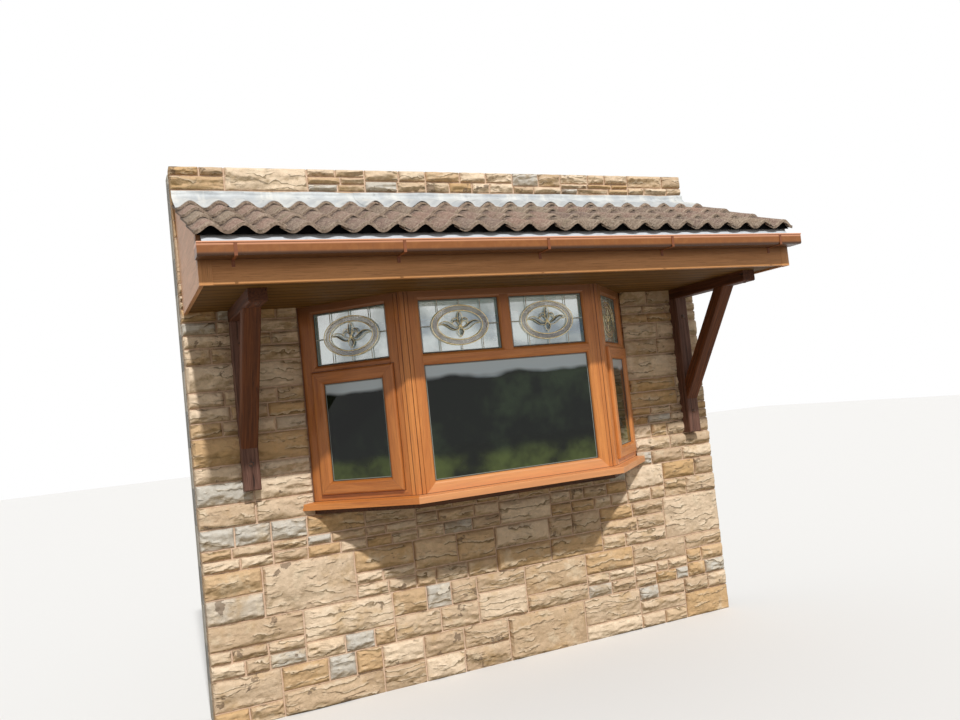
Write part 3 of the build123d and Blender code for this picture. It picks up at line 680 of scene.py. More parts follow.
def waveHeight(x):
    # a cosine with its hollows at the canopy's ends
    return -pantile["waveHeight"] / 2 * np.cos(2 * math.pi * (x - wallLeft) / pantile["wave"])


def waveLean(x):
    turn = 2 * math.pi * (x - wallLeft) / pantile["wave"]
    return np.arctan2(math.pi * pantile["waveHeight"] * np.sin(turn), pantile["wave"])


def waveUnder(x):
    # the lower surface of a tile of even thickness
    return waveHeight(x) - pantile["thickness"] / 2 / np.cos(waveLean(x))


def tileEdges(index):
    # places of the side laps in one course: just past every second crest, one wave on in the next
    first = wallLeft + pantile["wave"] / 2 + pantile["lapPastCrest"] + pantile["wave"] * (index % 2)
    inner = np.arange(first, wallRight - 0.05, pantile["cover"])
    return np.array([wallLeft, *inner[inner > wallLeft + 0.12], wallRight])


def makeTile(start, end, tail, length, atEaves, chance):
    # A closed section, upper wave out and lower wave back, carried up the slope. Its right edge
    # rides over the next tile and its left edge ducks under the one before, with the open end of
    # the side lock in its nose. Gives the points and how far each is into that opening.
    laps, ducks = end < wallRight - 0.001, start > wallLeft + 0.001
    low = start - pantile["lapUnder"] * ducks
    x = np.linspace(low, end, round((end - low) / pantile["wave"] * pantile["columnsPerWave"]) + 1)
    run = pantile["lapRun"]
    rise = waveHeight(x) + pantile["lapLift"] * np.clip((x - end + run) / run, 0, 1) ** 2 * laps
    rise = rise - pantile["lapDrop"] * np.clip((start + 0.012 - x) / 0.03, 0, 1) * ducks
    lean = waveLean(x)
    stations = np.array(pantile["stations"])
    kept = stations[stations < length - 0.02]
    share = np.append(np.interp(kept, stations[:3], pantile["noseShares"]), 1.0)[:, None]
    stations = np.append(kept, length)[:, None]
    wear = pantile["wear"] * np.array([ripple(chance, x, station, 3, 0.05, 0.05) for station in stations])
    place = np.maximum(stations, pantile["notch"] * (x < start - 0.003) * ducks)
    nose = np.exp(-stations / pantile["noseLength"])
    half, middle = pantile["thickness"] / 2, pantile["gapWidth"] * 0.5
    opened = np.clip(1.3 - abs(x - start - middle) / middle, 0, 1) * ducks
    opened = opened * (stations < pantile["gapDepth"])
    upper = half * share + pantile["noseSwell"] * nose - pantile["gapSink"] * opened
    lower = half + pantile["eavesSwell"] * nose * atEaves
    ringX = np.hstack([x - upper * np.sin(lean), (x + lower * np.sin(lean))[:, ::-1]])
    ringH = np.hstack([rise + upper * np.cos(lean) + wear, (rise - lower * np.cos(lean))[:, ::-1]])
    ringS = np.hstack([place, place[:, ::-1]])
    ring = tail + ringS[..., None] * tileUp + ringH[..., None] * tileOut
    ring[..., 0] = np.clip(ringX, wallLeft, wallRight)
    return ring, np.hstack([opened, opened])


def tileFinish():
    # Concrete pantiles: brown-grey grit and gravel, each tile its own tone, pale grey lichen in
    # spots, moss in patches, painted shade with dirt in the wave hollows, painted shade at each
    # course's top under the next noses and in the open ends of the side locks, and paler worn noses
    finish, place = startFinish("weatheredPantile")
    tone = place.attribute("tileTone", 1).parts()
    run = place.attribute("tileRun")
    own = place.shifted(tone[0] * 5.0, tone[1] * 6.0, tone[2] * 7.0)
    grit = place.noise(520.0, 2.0, 0.75)
    gravel = own.noise(88.0, 4.0, 0.75)
    cloud = own.noise(11.0, 5.0, 0.65)
    spots = place.cells(46.0).rise(0.34, 0.16) * place.noise(14.0).rise(0.46, 0.62)
    hollow = abs((place.along(sideways) - wallLeft) % pantile["wave"] - pantile["wave"] / 2)
    base = tone[0].mixed((158, 128, 112), (132, 110, 98)).layered(
        (tone[1].rise(0.45, 1.0), 0.7, (168, 130, 112)),
        (tone[2].rise(0.6, 1.0), 0.5, (150, 142, 116)),
        (cloud.rise(0.44, 0.66), 0.55, (168, 150, 130)),
        (spots, 0.60, (196, 190, 168)),
        (own.noise(7.0, 4.0).rise(0.56, 0.70), 0.55, (118, 112, 80)),
        (run.rise(0.026, 0.004), 0.58, (198, 178, 156)),
        # painted shade with dirt in the wave hollows
        (hollow.rise(0.044, 0.072), cloud.rise(0.35, 0.60) * 0.45 + 0.25, (84, 70, 54)),
        # painted shade at each course's top, under the next course's noses
        (run.rise(0.18, 0.28), 0.80, (66, 53, 44)),
        (gravel.rise(0.49, 0.66), 0.64, (214, 194, 172)),
        (gravel.rise(0.50, 0.35), 0.66, (80, 64, 54)),
        (grit.rise(0.40, 0.75), 0.45, (84, 68, 60)),
        # painted shade in the open end of each side lock
        (place.attribute("tileGap").rise(0.3, 0.8), 0.92, (30, 23, 19)),
    )
    return endFinish(finish, place, base, 0.93, grit * 0.6 + cloud * 0.5 + spots * 0.5, 0.0035)


def buildTiles():
    chance = np.random.default_rng(pantile["seed"])
    grids, fields = [], {"tileTone": [], "tileRun": [], "tileGap": []}
    for index in range(pantile["courses"]):
        tail = courseTail(index)
        length = pantile["gauge"] + pantile["headLap"]
        if index == pantile["courses"] - 1:
            length = (tileBox[1].y - tail[1]) / math.cos(tilePitch)
        for start, end in pairwise(tileEdges(index)):
            slipped = tail + tileUp * chance.uniform(*pantile["slip"])
            tile, gap = makeTile(start, end, slipped, length, index == 0, chance)
            grids.append((tile, False, True))
            fields["tileTone"].append(np.tile(chance.random(3), (gap.size, 1)))
            fields["tileRun"].append((tile - tail).reshape(-1, 3) @ tileUp)
            fields["tileGap"].append(gap.ravel())
    values = {key: np.concatenate(rows) for key, rows in fields.items()}
    piece = makePiece("pantiles", *joinGrids(grids), tileFinish(), "roof_tile", 45.0, values=values)
    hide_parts("tile_courses")


def buildEavesFiller():
    # a black comb behind the lowest noses: a thin plate from the tiles' wavy undersides down to
    # the tray, with a saw edge along its top
    x = np.linspace(wallLeft + eaves["inset"], wallRight - eaves["inset"], eaves["points"])
    tail = courseTail(0) + tileUp * eaves["back"]
    rise = waveUnder(x) - eaves["clear"] - eaves["teeth"] * (np.arange(len(x)) % 2)
    top = tail + rise[:, None] * tileOut + x[:, None] * sideways
    foot = x[:, None] * sideways + tail * inwards + (reach("eaves_tray", up)[1] - eaves["foot"]) * up
    back = eaves["thickness"] * inwards
    rows = np.array([foot, top, top + back, foot + back])
    # near black and nearly matt: a black plastic comb that also stands for painted shade behind the noses
    finish = mouldedFinish("blackComb", (6, 5, 5), (14, 13, 12), 0.80, Specular_IOR_Level=0.08)
    makePiece("eaves_comb", *joinGrids([(rows, True, False)]), finish, "felt_tray")


def buildVerges():
    # mortar bedding at each end of the canopy, from the end board's sloping top up to the
    # undersides of the end tiles, which step down at each course
    low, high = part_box("canopy_end_boards")
    fall = math.tan(pantile["pitch"])
    footLevel = reach("canopy_end_boards", up)[1] - (high.y - low.y) * fall - 0.001
    lap, short = pantile["headLap"], eaves["vergeEnd"]
    grids = []
    for hand in (-1, 1):
        x = hand * np.linspace(*(abs(low.x) - inset for inset in eaves["verge"]), 5)
        under = waveUnder(x) + 0.0005
        rows = []
        for index in range(pantile["courses"]):
            tail = courseTail(index)
            first, last = (np.array([low.y, high.y]) - tail[1]) / math.cos(tilePitch)
            ends = max(lap, first + short), min(pantile["gauge"] + lap, last) - short
            for run in np.linspace(*ends, 6):
                top = tail + run * tileUp + under[:, None] * tileOut + x[:, None] * sideways
                foot = top[[-1, 0]]
                foot[:, 2] = footLevel + (foot[:, 1] - low.y) * fall
                rows.append(np.vstack([top, foot]))
        grids.append((np.array(rows), False, True))
    makePiece("verge_mortar", *joinGrids(grids), mortar, "sandstone", 30.0)


buildTiles()
buildEavesFiller()
buildVerges()
print("tiles hung")


# Lead flashing: three sheets dressed over the top course and up the wall
leadwork = {
    "thickness": 0.0028,
    "gap": 0.0042,
    "lap": 0.10,
    "overlapLift": 1.4,
    "joints": (-0.68, 0.82),
    "columnStep": 0.0125,
    "apronRows": 12,
    "upstandRows": 5,
    "crease": 0.006,
    "offWall": 0.009,
    "tuck": 0.012,
    "creaseLift": 0.014,
    "seed": 5,
}


def leadFinish():
    # Weathered lead: blue-grey patina, white bloom in runs, darker scuffs, and hammer dressing
    finish, place = startFinish("weatheredLead")
    runs = place.stretched(14.0, 3.0, 1.6).noise(1.0, 4.0, 0.6)
    cloud = place.noise(7.0, 5.0, 0.6).rise(0.35, 0.65)
    base = cloud.mixed((204, 206, 204), (180, 184, 186)).layered(
        (runs.rise(0.50, 0.68), 0.55, (226, 224, 216)),
        (place.noise(19.0, 4.0).rise(0.60, 0.74), 0.5, (128, 132, 134)),
    )
    dressing = place.noise(34.0, 2.0, 0.5)
    return endFinish(finish, place, base, runs * 0.2 + 0.50, dressing, 0.004, Metallic=0.12)


def lapRise(x, index):
    # how far the side laps of a course lift its surface
    past = x[:, None] - tileEdges(index)[1:-1]
    grown = np.clip((past + 0.062) / pantile["lapRun"], 0, 1) ** 2
    return (pantile["lapLift"] * grown * (past < 0.012)).max(axis=1)


def buildLead():
    # Rows run from the upstand's top down to the crease and out to the apron's foot. The wave
    # grows from nothing at the crease to the tiles' full wave at the foot, over their side laps.
    chance = np.random.default_rng(leadwork["seed"])
    last = pantile["courses"] - 1
    tail = courseTail(last)
    thickness, clear = leadwork["thickness"], pantile["thickness"] / 2 + leadwork["gap"]
    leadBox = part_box("lead_flashing")
    crease = (stoneFace - leadwork["crease"] - tail[1]) / math.cos(tilePitch)
    foot = (leadBox[0].y - tail[1]) / math.cos(tilePitch)
    low = (tail + crease * tileUp + (pantile["waveHeight"] / 2 + clear) * tileOut)[2]
    grids = []
    for number, (start, end) in enumerate(pairwise([wallLeft, *leadwork["joints"], wallRight])):
        over = thickness * leadwork["overlapLift"] * (number % 2)
        past = leadwork["lap"] / 2 * (number % 2)
        left, right = max(start - past, wallLeft), min(end + past, wallRight)
        x = np.linspace(left, right, round((right - left) / leadwork["columnStep"]) + 1)
        rows = []
        top = leadBox[1].z + 0.004 * ripple(chance, x, x, 4, 0.4, 0.4) - 0.006
        for share in np.linspace(1, 0, leadwork["upstandRows"]):
            dent = 0.0022 * ripple(chance, x, share, 5, 0.23, 0.5)
            y = stoneFace - leadwork["offWall"] - over - dent + leadwork["tuck"] * (share > 0.99)
            z = low + (top - low) * share + leadwork["creaseLift"] * (1 - share)
            rows.append(np.stack([x, y, z], axis=-1))
        wander = 0.006 * ripple(chance, x, x, 5, 0.3, 0.3)
        for share in np.linspace(0, 1, leadwork["apronRows"])[1:]:
            depth = np.clip(share * 1.25, 0, 1) ** 0.8
            rise = pantile["waveHeight"] / 2 * (1 - depth) + waveHeight(x) * depth
            rise = rise + lapRise(x, last) * depth + clear + over
            rise = rise + 0.0012 * ripple(chance, x, share, 6, 0.05, 0.5)
            run = crease + (foot + wander - crease) * share
            rise = rise + pantile["noseSwell"] * np.exp(-run / pantile["noseLength"])
            rows.append(tail + run[:, None] * tileUp + rise[:, None] * tileOut + x[:, None] * sideways)
        sheet = np.array(rows)
        under = sheet + thickness * (0.5 * inwards - 0.8 * up)
        grids.append((np.concatenate([sheet, under[::-1]]), True, False))
    piece = makePiece("lead_sheets", *joinGrids(grids), leadFinish(), "lead", 60.0)
    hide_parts("lead_flashing")


buildLead()
print("lead dressed")


# Woodgrain foil, with its grain along each member and a welded line at each mitre
foil = {
    "grain": 380.0,
    "stretch": 0.018,
    "weld": 0.0009,
    "jointLine": 0.0042,
    # width of the painted shadow line round each sash
    "sashShadowLine": 0.0046,
    "seam": (66, 32, 14),
    # pale band on the lowest rails and the sills: painted sky sheen, partly sun-fading
    "fadeAndSheenTone": (240, 180, 130),
    "fadeAndSheenRise": (0.075, 0.055),
    # painted shade under the frames' heads, close under the soffit
    "headShadeTone": (88, 52, 20),
    "headShadeRise": (0.16, 0.02),
    "headShadeShare": 0.76,
    "headShadeReach": 0.045,
    "poleReach": 0.03,
    "oak": ((218, 140, 70), (194, 116, 52), (124, 64, 26)),
    # a darker copy of the oak, painted shade, for the left side's frames and sash and the wall posts
    "shadedOak": ((194, 120, 56), (170, 98, 40), (106, 52, 18)),
    "brown": ((216, 156, 104), (196, 138, 88), (124, 80, 44)),
}


def bayFace(hand):
    # along and inward directions of the left (-1), front (0) or right (1) side of the bay
    turn = math.radians(45.0) * hand
    along = np.array([math.cos(turn), math.sin(turn), 0.0])
    return along, np.cross(up, along)


def foilFinish(name, direction, across, tones, marks=(), mitre=None, sheen=0.5):
    # Satin foil: fine pores drawn out along the grain over a soft broad figure, and an embossed
    # surface. mitre gives a frame's middle and half sizes, where the grain turns the corner.
    # marks are functions of place that give 1 where a colour lies, each with its share and colour.
    finish, place = startFinish(name)
    run, side = place.along(direction), place.along(across)
    deep = place.along(np.cross(direction, across))
    if mitre:
        middleRun, middleSide, halfRun, halfSide = mitre
        pastRun = abs(run - middleRun) - halfRun
        pastSide = abs(side - middleSide) - halfSide
        turned = pastRun > pastSide
        straight = 1.0 - turned
        weld = abs(pastRun - pastSide).rise(foil["weld"] * 2, 0.0)
        run, side = run * straight + side * turned, side * straight + run * turned
    grainPlace = place.vector(run * foil["stretch"], side, deep)
    pores = grainPlace.noise(foil["grain"], 3.0, 0.6, 0.2)
    fine = grainPlace.noise(foil["grain"] * 3.0, 2.0, 0.6)
    figure = place.vector(run * 0.07, side, deep).noise(21.0, 3.0, 0.6, 0.6)
    base = figure.rise(0.30, 0.70).mixed(tones[0], tones[1]).layered(
        (pores.rise(0.52, 0.68), 0.52, tones[2]),
        (fine.rise(0.55, 0.72), 0.34, tones[2]),
        (place.noise(3.0, 2.0).rise(0.45, 0.75), 0.25, tones[1]),
    )
    height = pores.rise(0.45, 0.7) * -1.0 + fine.rise(0.5, 0.75) * -0.5
    if mitre:
        base = base.layered((weld, 0.6, tones[2]))
        height = height - weld * 2.0
    base = base.layered(*((mark(place), share, colour) for mark, share, colour in marks))
    gloss = {"Specular_IOR_Level": sheen, "Coat_Weight": sheen * 0.2}
    return endFinish(finish, place, base, pores * 0.12 + 0.37, height, 0.0003, **gloss)


def paint(finish, *nodes):
    # CAD nodes keep their meshes and take a new finish
    for node in nodes:
        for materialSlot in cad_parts[node].material_slots:
            materialSlot.material = finish


def levelMark(start, end):
    # changes with height, from 0 at start to 1 at end
    return lambda place: place.along(up).rise(start, end)


def headShade(depth, limit):
    # painted shade under the frames' head, close under the soffit, where depth, a function of place, stays
    # below a limit
    head = reach("front_rails", up)[1]
    under = levelMark(*(head - step for step in foil["headShadeRise"]))

    def mark(place):
        return under(place) * (depth(place) < limit)

    return mark, foil["headShadeShare"], foil["headShadeTone"]


def poleDepth(place):
    # how far behind both of the faces that a bay pole joins
    x, y, z = place.parts()
    inward = bayFace(1)[1]
    front = y - reach("bay_poles", inwards)[0]
    side = place.vector(abs(x), y, z).along(inward) - reach("bay_poles", inward, 1)[0]
    return front.least(side)


def poleGrooveShade(place):
    # painted shade in the recess of each groove of the poles
    sunk = poleDepth(place)
    return sunk.rise(0.0003, 0.0018) * (sunk < 0.006)


def sashShadows(along, inward, outer, size):
    # painted shadow: a dark line on a frame's outer face, just past the edge of its proud sash
    def mark(place):
        pastRun = abs(place.along(along) - size[0]) - size[2]
        pastRise = abs(place.along(up) - size[1]) - size[3]
        near = pastRun.most(pastRise).rise(foil["sashShadowLine"], foil["sashShadowLine"] * 0.6)
        return near * (place.along(inward) < outer + 0.008)

    return mark, 0.8, foil["seam"]


def finishOak():
    # The front and right sills and the foot of the rails on them are paler: a painted sky sheen, partly
    # sun-fading. The left side's frames and sash and the wall posts take a darker copy of the oak as
    # painted shade, and painted shade darkens the heads close under the soffit. A thin dark joint runs
    # where the frames stand on the sills; painted shadow lines run round the sashes, and painted shade
    # runs down the grooves of the poles.
    foot = reach("front_rails", up)[0]
    # painted sheen, partly sun-fading, on the foot of the lowest rail and on the sills
    fadeAndSheen = (levelMark(*(foot + step for step in foil["fadeAndSheenRise"])), 0.38, foil["fadeAndSheenTone"])
    joint = (levelMark(foot + foil["jointLine"], foot + foil["jointLine"] * 0.7), 0.75, foil["seam"])
    marks = [joint, headShade(poleDepth, foil["poleReach"]), (poleGrooveShade, 0.8, foil["seam"])]
    paint(foilFinish("oakPole", up, sideways, foil["oak"], marks), "bay_poles")
    limit = reach("wall_posts", inwards)[0] + foil["headShadeReach"]
    marks = [joint, headShade(lambda place: place.along(inwards), limit)]
    paint(foilFinish("oakPost", up, sideways, foil["shadedOak"], marks), "wall_posts")
    for face, hand in (("left", -1), ("front", 0), ("right", 1)):
        along, inward = bayFace(hand)
        fadeAndSheenMarks = [fadeAndSheen] if hand >= 0 else []
        tones = foil["oak" if hand >= 0 else "shadedOak"]
        outer = reach(f"{face}_jambs", inward)[0]
        marks = [joint, headShade(lambda place: place.along(inward), outer + foil["headShadeReach"])]
        if hand:
            ends = [reach(f"{face}_sash", direction) for direction in (along, up)]
            size = [(low + high) / 2 for low, high in ends] + [(high - low) / 2 for low, high in ends]
            paint(foilFinish(f"oakSash_{face}", along, up, tones, mitre=size), f"{face}_sash")
            marks.append(sashShadows(along, inward, outer, size))
        level = foilFinish(f"oakLevel_{face}", along, up, tones, [*fadeAndSheenMarks, *marks])
        upright = foilFinish(f"oakUpright_{face}", up, along, tones, marks)
        paint(level, f"{face}_rails", f"{face}_transom")
        paint(upright, f"{face}_jambs", *([] if hand else ["front_mullion"]))
        paint(foilFinish(f"oakSill_{face}", along, up, foil["oak"], fadeAndSheenMarks), f"{face}_sill")


finishOak()


# Sealed glass units: the sight edge is where the frame's lip ends. Each look has a deep, a middle
# and a pale tone, and where the pale one, a painted sky reflection, starts and ends up the pane;
# its foot takes a painted reflection of greenery. A gasket is its inset, half width, rise and base.
glazing = {
    "tuck": 0.0117,
    "spacer": (0.0035, 0.0080),
    "spacerTone": (134, 136, 128),
    "clear": {
        "tones": ((12, 17, 12), (36, 47, 31), (222, 238, 248)),
        "greeneryReflection": (98, 112, 54),
        "alpha": 0.968,
        "veil": 0.0,
        "gloss": 0.25,
        "skyReflectionRise": (0.855, 0.91),
    },
    "obscure": {
        "tones": ((170, 216, 208), (86, 142, 176), (186, 220, 214)),
        "greeneryReflection": (190, 214, 210),
        "alpha": 0.30,
        "veil": 0.26,
        "gloss": 0.5,
        "skyReflectionRise": (0.60, 0.80),
    },
    "gasket": (0.0014, 0.0016, 0.0022, -0.0006),
}


def findPane(node, face, hand=0):
    # a pane's middle along its face and up, its half sizes to the sight edges, and its two depths
    along, inward = bayFace(face)
    ends = [reach(node, direction, hand) for direction in (along, up)]
    return {
        "along": along,
        "inward": inward,
        "middle": [(low + high) / 2 for low, high in ends],
        "half": [(high - low) / 2 - glazing["tuck"] for low, high in ends],
        "depths": dict(zip((-1, 1), reach(node, inward, hand))),
    }


def onGlass(pane, side, flat):
    # points given across and up from a pane's middle, put on its outer (-1) or inner (1) surface
    spots = np.asarray(flat, dtype=float) + pane["middle"]
    return spots[..., :1] * pane["along"] + spots[..., 1:] * up + pane["depths"][side] * pane["inward"]


picturePane = findPane("picture_glass", 0)
topPanes = [findPane("front_top_glass", 0, hand) for hand in (-1, 1)]
topPanes += [findPane("side_top_glass", hand, hand) for hand in (-1, 1)]
sidePanes = [findPane("casement_glass", hand, hand) for hand in (-1, 1)]


def glassFinish(name, pane, kind):
    # Float glass with a painted view: the clear look is nearly opaque, dark and faintly green as painted
    # shade of a dim room behind, with soft greener shapes at its foot as a painted reflection of greenery,
    # a painted sky reflection along its top, an aluminium spacer near the edges, and the slight roll of a
    # sealed unit. Both panes of a pair share it, so X is taken without its sign. The obscure look of the
    # top lights takes the same painted reflections over its own mottled tint.
    look = glazing[kind]
    finish, place = startFinish(name)
    x, y, z = place.parts()
    run = place.vector(abs(x), y, z).along(pane["along"]) if pane is not picturePane else x
    (middleRun, middleUp), (halfRun, halfUp) = pane["middle"], pane["half"]
    inside = (halfRun - abs(run - middleRun)).least(halfUp - abs(z - middleUp))
    start, end = glazing["spacer"]
    spacer = inside.rise(start, start + 0.0004) * inside.rise(end, end - 0.0004)
    shapes = place.noise(2.6, 4.0, 0.6)
    veil = shapes.rise(0.42, 0.62)
    level = (z - (middleUp - halfUp)) / (2 * halfUp) + place.noise(3.4, 2.0, 0.5) * 0.16 - 0.08
    deep, middle, pale = look["tones"]
    base = veil.mixed(deep, middle).layered(
        # painted sky reflection along the top, painted reflection of greenery at the foot
        (level.rise(*look["skyReflectionRise"]), 0.8, pale),
        (level.rise(0.24, 0.12) * shapes.rise(0.30, 0.60), 0.5, look["greeneryReflection"]),
        (spacer, 1.0, glazing["spacerTone"]),
    )
    alpha = spacer.most(veil * look["veil"] + look["alpha"])
    sheen = {"Alpha": alpha, "IOR": 1.52, "Specular_IOR_Level": look["gloss"]}
    return endFinish(finish, place, base, spacer * 0.3 + 0.03, place.noise(2.3, 2.0, 0.5), 0.0016, **sheen)


paint(glassFinish("pictureGlass", picturePane, "clear"), "picture_glass")
paint(glassFinish("casementGlass", sidePanes[1], "clear"), "casement_glass")
paint(glassFinish("frontTopGlass", topPanes[1], "obscure"), "front_top_glass")
paint(glassFinish("sideTopGlass", topPanes[3], "obscure"), "side_top_glass")


def buildGaskets():
    # a black rubber strip with a rounded back, mitred round each pane at its sight edge
    inset, half, rise, base = glazing["gasket"]
    grids = []
    for pane in [picturePane, *topPanes, *sidePanes]:
        wide, tall = (size - inset for size in pane["half"])
        loop = [(-wide, -tall), (wide, -tall), (wide, tall), (-wide, tall)]
        for side in (-1, 1):
            line = onGlass(pane, side, loop)
            grids.append(ribbon(line, side * pane["inward"], half, domeProfile(rise, base), True))
    finish = mouldedFinish("gasketRubber", (24, 23, 22), (44, 42, 40), 0.55)
    makePiece("glazing_gaskets", *joinGrids(grids), finish)


# Leaded top lights: an oval ring of mauve glass, bars to the frame, and a bevelled lily. A leaf is
# its spine's control points, its width, how its width swells, and the hands that it is made for.
# Sections are rows of share of the width and rise off the glass.
leading = {
    "bar": 0.0027,
    "came": 0.0017,
    "rise": 0.0016,
    "ringOuter": (0.181, 0.117),
    "ringInner": (0.144, 0.086),
    "ringSteps": 72,
    "ringSection": ((0.0, -0.0004), (0.0, 0.0007), (0.5, 0.0010), (1.0, 0.0007), (1.0, -0.0004)),
    "bevelSection": ((-1.0, -0.0003), (-0.45, 0.0026), (0.0, 0.0026), (0.45, 0.0026), (1.0, -0.0003)),
    "barShare": 0.27,
    "boss": (-0.003, 0.0085, 0.0050),
    "leaves": (
        (((0.0, -0.002), (0.0, 0.025), (0.0, 0.053), (0.0, 0.080)), 0.0155, 0.7, (1,)),
        (((0.0, -0.010), (0.0, -0.030), (0.0, -0.050), (0.0, -0.074)), 0.0190, 1.4, (1,)),
        (((0.006, -0.010), (0.046, -0.050), (0.074, 0.044), (0.130, 0.006)), 0.0142, 0.7, (1, -1)),
        (((0.007, 0.006), (0.018, 0.044), (0.041, 0.042), (0.050, 0.008)), 0.0088, 0.7, (1, -1)),
    ),
}


def leadedLeaves():
    # each leaf as its spine and the offset of its edge, a width that swells from both tips
    shapes = []
    for points, width, power, hands in leading["leaves"]:
        for hand in hands:
            spine = bezier(np.array(points) * (hand, 1))
            run = np.gradient(spine, axis=0)
            side = np.column_stack([-run[:, 1], run[:, 0]]) / np.linalg.norm(run, axis=1)[:, None]
            swell = width * np.sin(math.pi * np.linspace(0, 1, len(spine))) ** power + 0.0004
            shapes.append((spine, side * swell[:, None]))
    return shapes


def carried(pane, side, line, offset, section):
    # a section carried along a line on the glass
    out = side * pane["inward"]
    rows = [onGlass(pane, side, line + offset * share) + out * rise for share, rise in section]
    return np.stack(rows, axis=1)


def bevelFinish():
    # bevelled clear glass: one slope painted dark for what is seen through it, the other with a painted
    # bright reflection
    finish, place = startFinish("bevelledGlass")
    slope = place.attribute("bevelSlope")
    cloud = place.noise(60.0, 3.0, 0.6)
    dim = slope.rise(0.15, 0.55)
    base = dim.mixed((244, 248, 240), (30, 38, 28)).layered(
        (slope.rise(-0.5, -0.95), 0.5, (140, 152, 146)),
        (cloud.rise(0.52, 0.64), 0.3, (96, 108, 100)),
    )
    return endFinish(finish, place, base, cloud * 0.05 + 0.05, cloud, 0.0006, Alpha=dim * 0.68 + 0.14)


def ringFinish():
    # hammered mauve glass between the two cames of the ring
    finish, place = startFinish("mauveRingGlass")
    hammer = place.cells(150.0, "SMOOTH_F1")
    cloud = place.noise(22.0, 3.0, 0.6)
    base = cloud.rise(0.35, 0.65).mixed((232, 198, 176), (186, 150, 128))
    base = base.layered((hammer.rise(0.5, 0.1), 0.3, (236, 204, 184)))
    alpha = cloud.rise(0.3, 0.7) * 0.12 + 0.17
    return endFinish(finish, place, base, cloud * 0.1 + 0.18, hammer, 0.0012, Alpha=alpha)


def cameFinish(name, bright, dull, metal):
    # drawn came: dull hollows and bright rubbed places
    finish, place = startFinish(name)
    rub = place.noise(70.0, 3.0, 0.6)
    base = rub.rise(0.35, 0.65).mixed(bright, dull)
    return endFinish(finish, place, base, rub * 0.2 + 0.30, rub, 0.0003, Metallic=metal)


def buildLeading():
    bars, cames, rings, bevels, slopes = [], [], [], [], []
    dome = domeProfile(leading["rise"])
    leaves = leadedLeaves()
    ring = np.column_stack(circle(leading["ringSteps"]))
    ovals = [ring * leading[key] for key in ("ringOuter", "ringInner")]
    ringWide, ringTall = leading["ringOuter"]
    bossRise, bossRadius, bossDepth = leading["boss"]
    turn = np.linspace(0, math.pi / 2, 6)
    radii, depths = bossRadius * np.cos(turn) + 0.0003, bossDepth * np.sin(turn)
    for pane in topPanes:
        wide, tall = pane["half"]
        lines = [[(-wide, 0.0), (-ringWide, 0.0)], [(ringWide, 0.0), (wide, 0.0)]]
        for share in (-leading["barShare"], 0.0, leading["barShare"]):
            x = share * 2 * wide
            start = ringTall * math.sqrt(1 - (x / ringWide) ** 2)
            lines += [[(x, start), (x, tall)], [(x, -start), (x, -tall)]]
        for side in (-1, 1):
            out = side * pane["inward"]
            bars += [ribbon(onGlass(pane, side, line), out, leading["bar"], dome) for line in lines]
            cames += [ribbon(onGlass(pane, side, line), out, leading["bar"], dome, True) for line in ovals]
            band = carried(pane, side, ovals[0], ovals[1] - ovals[0], leading["ringSection"])
            rings.append((band, True, True))
            for spine, offset in leaves:
                bevels.append((carried(pane, side, spine, offset, leading["bevelSection"]), False, True))
                slopes.append(np.tile([share for share, _ in leading["bevelSection"]], len(spine)))
                edge = np.vstack([spine + offset, (spine - offset)[::-1]])
                cames.append(ribbon(onGlass(pane, side, edge), out, leading["came"], dome, True))
            cames.append(turnedPiece(onGlass(pane, side, (0.0, bossRise)), out, radii, depths))
    brass = cameFinish("brassCame", (255, 240, 196), (226, 200, 138), 0.75)
    lead = cameFinish("greyCame", (190, 184, 164), (128, 122, 108), 0.70)
    makePiece("leaded_bars", *joinGrids(bars), lead, "lead")
    makePiece("leaded_cames", *joinGrids(cames), brass, "lead")
    makePiece("leaded_rings", *joinGrids(rings), ringFinish(), "glass")
    values = {"bevelSlope": np.concatenate(slopes)}
    makePiece("leaded_bevels", *joinGrids(bevels), bevelFinish(), "glass", 12.0, values=values)


buildGaskets()
buildLeading()
print("frames, glass and leading finished")


def stainedFinish(name, dark, light, direction, scale=90.0, rough=0.62):
    # sawn or planed timber under a dark stain: grain along the length, checks and worn arrises
    finish, place = startFinish(name)
    across = np.cross(direction, (0.37, 0.61, 0.70))
    across = across / np.linalg.norm(across)
    third = np.cross(direction, across)
    grainPlace = place.vector(place.along(direction) * 0.035, place.along(across), place.along(third))
    grain = grainPlace.noise(scale, 5.0, 0.62, 0.5)
    fine = grainPlace.noise(scale * 4.0, 2.0, 0.6)
    checks = grainPlace.noise(scale * 0.8, 2.0, 0.5, 1.2).rise(0.655, 0.70)
    base = grain.rise(0.32, 0.70).mixed(light, dark).layered(
        (fine.rise(0.45, 0.75), 0.35, dark),
        (place.noise(3.0).rise(0.55, 0.75), 0.30, light),
        (checks, 0.8, (0.006, 0.004, 0.003, 1.0)),
    )
    height = grain * -0.6 + fine * -0.4 - checks * 2.0
    rough = grain * 0.15 + rough - 0.08
    return endFinish(finish, place, base, rough, height, 0.0012, Specular_IOR_Level=0.25)


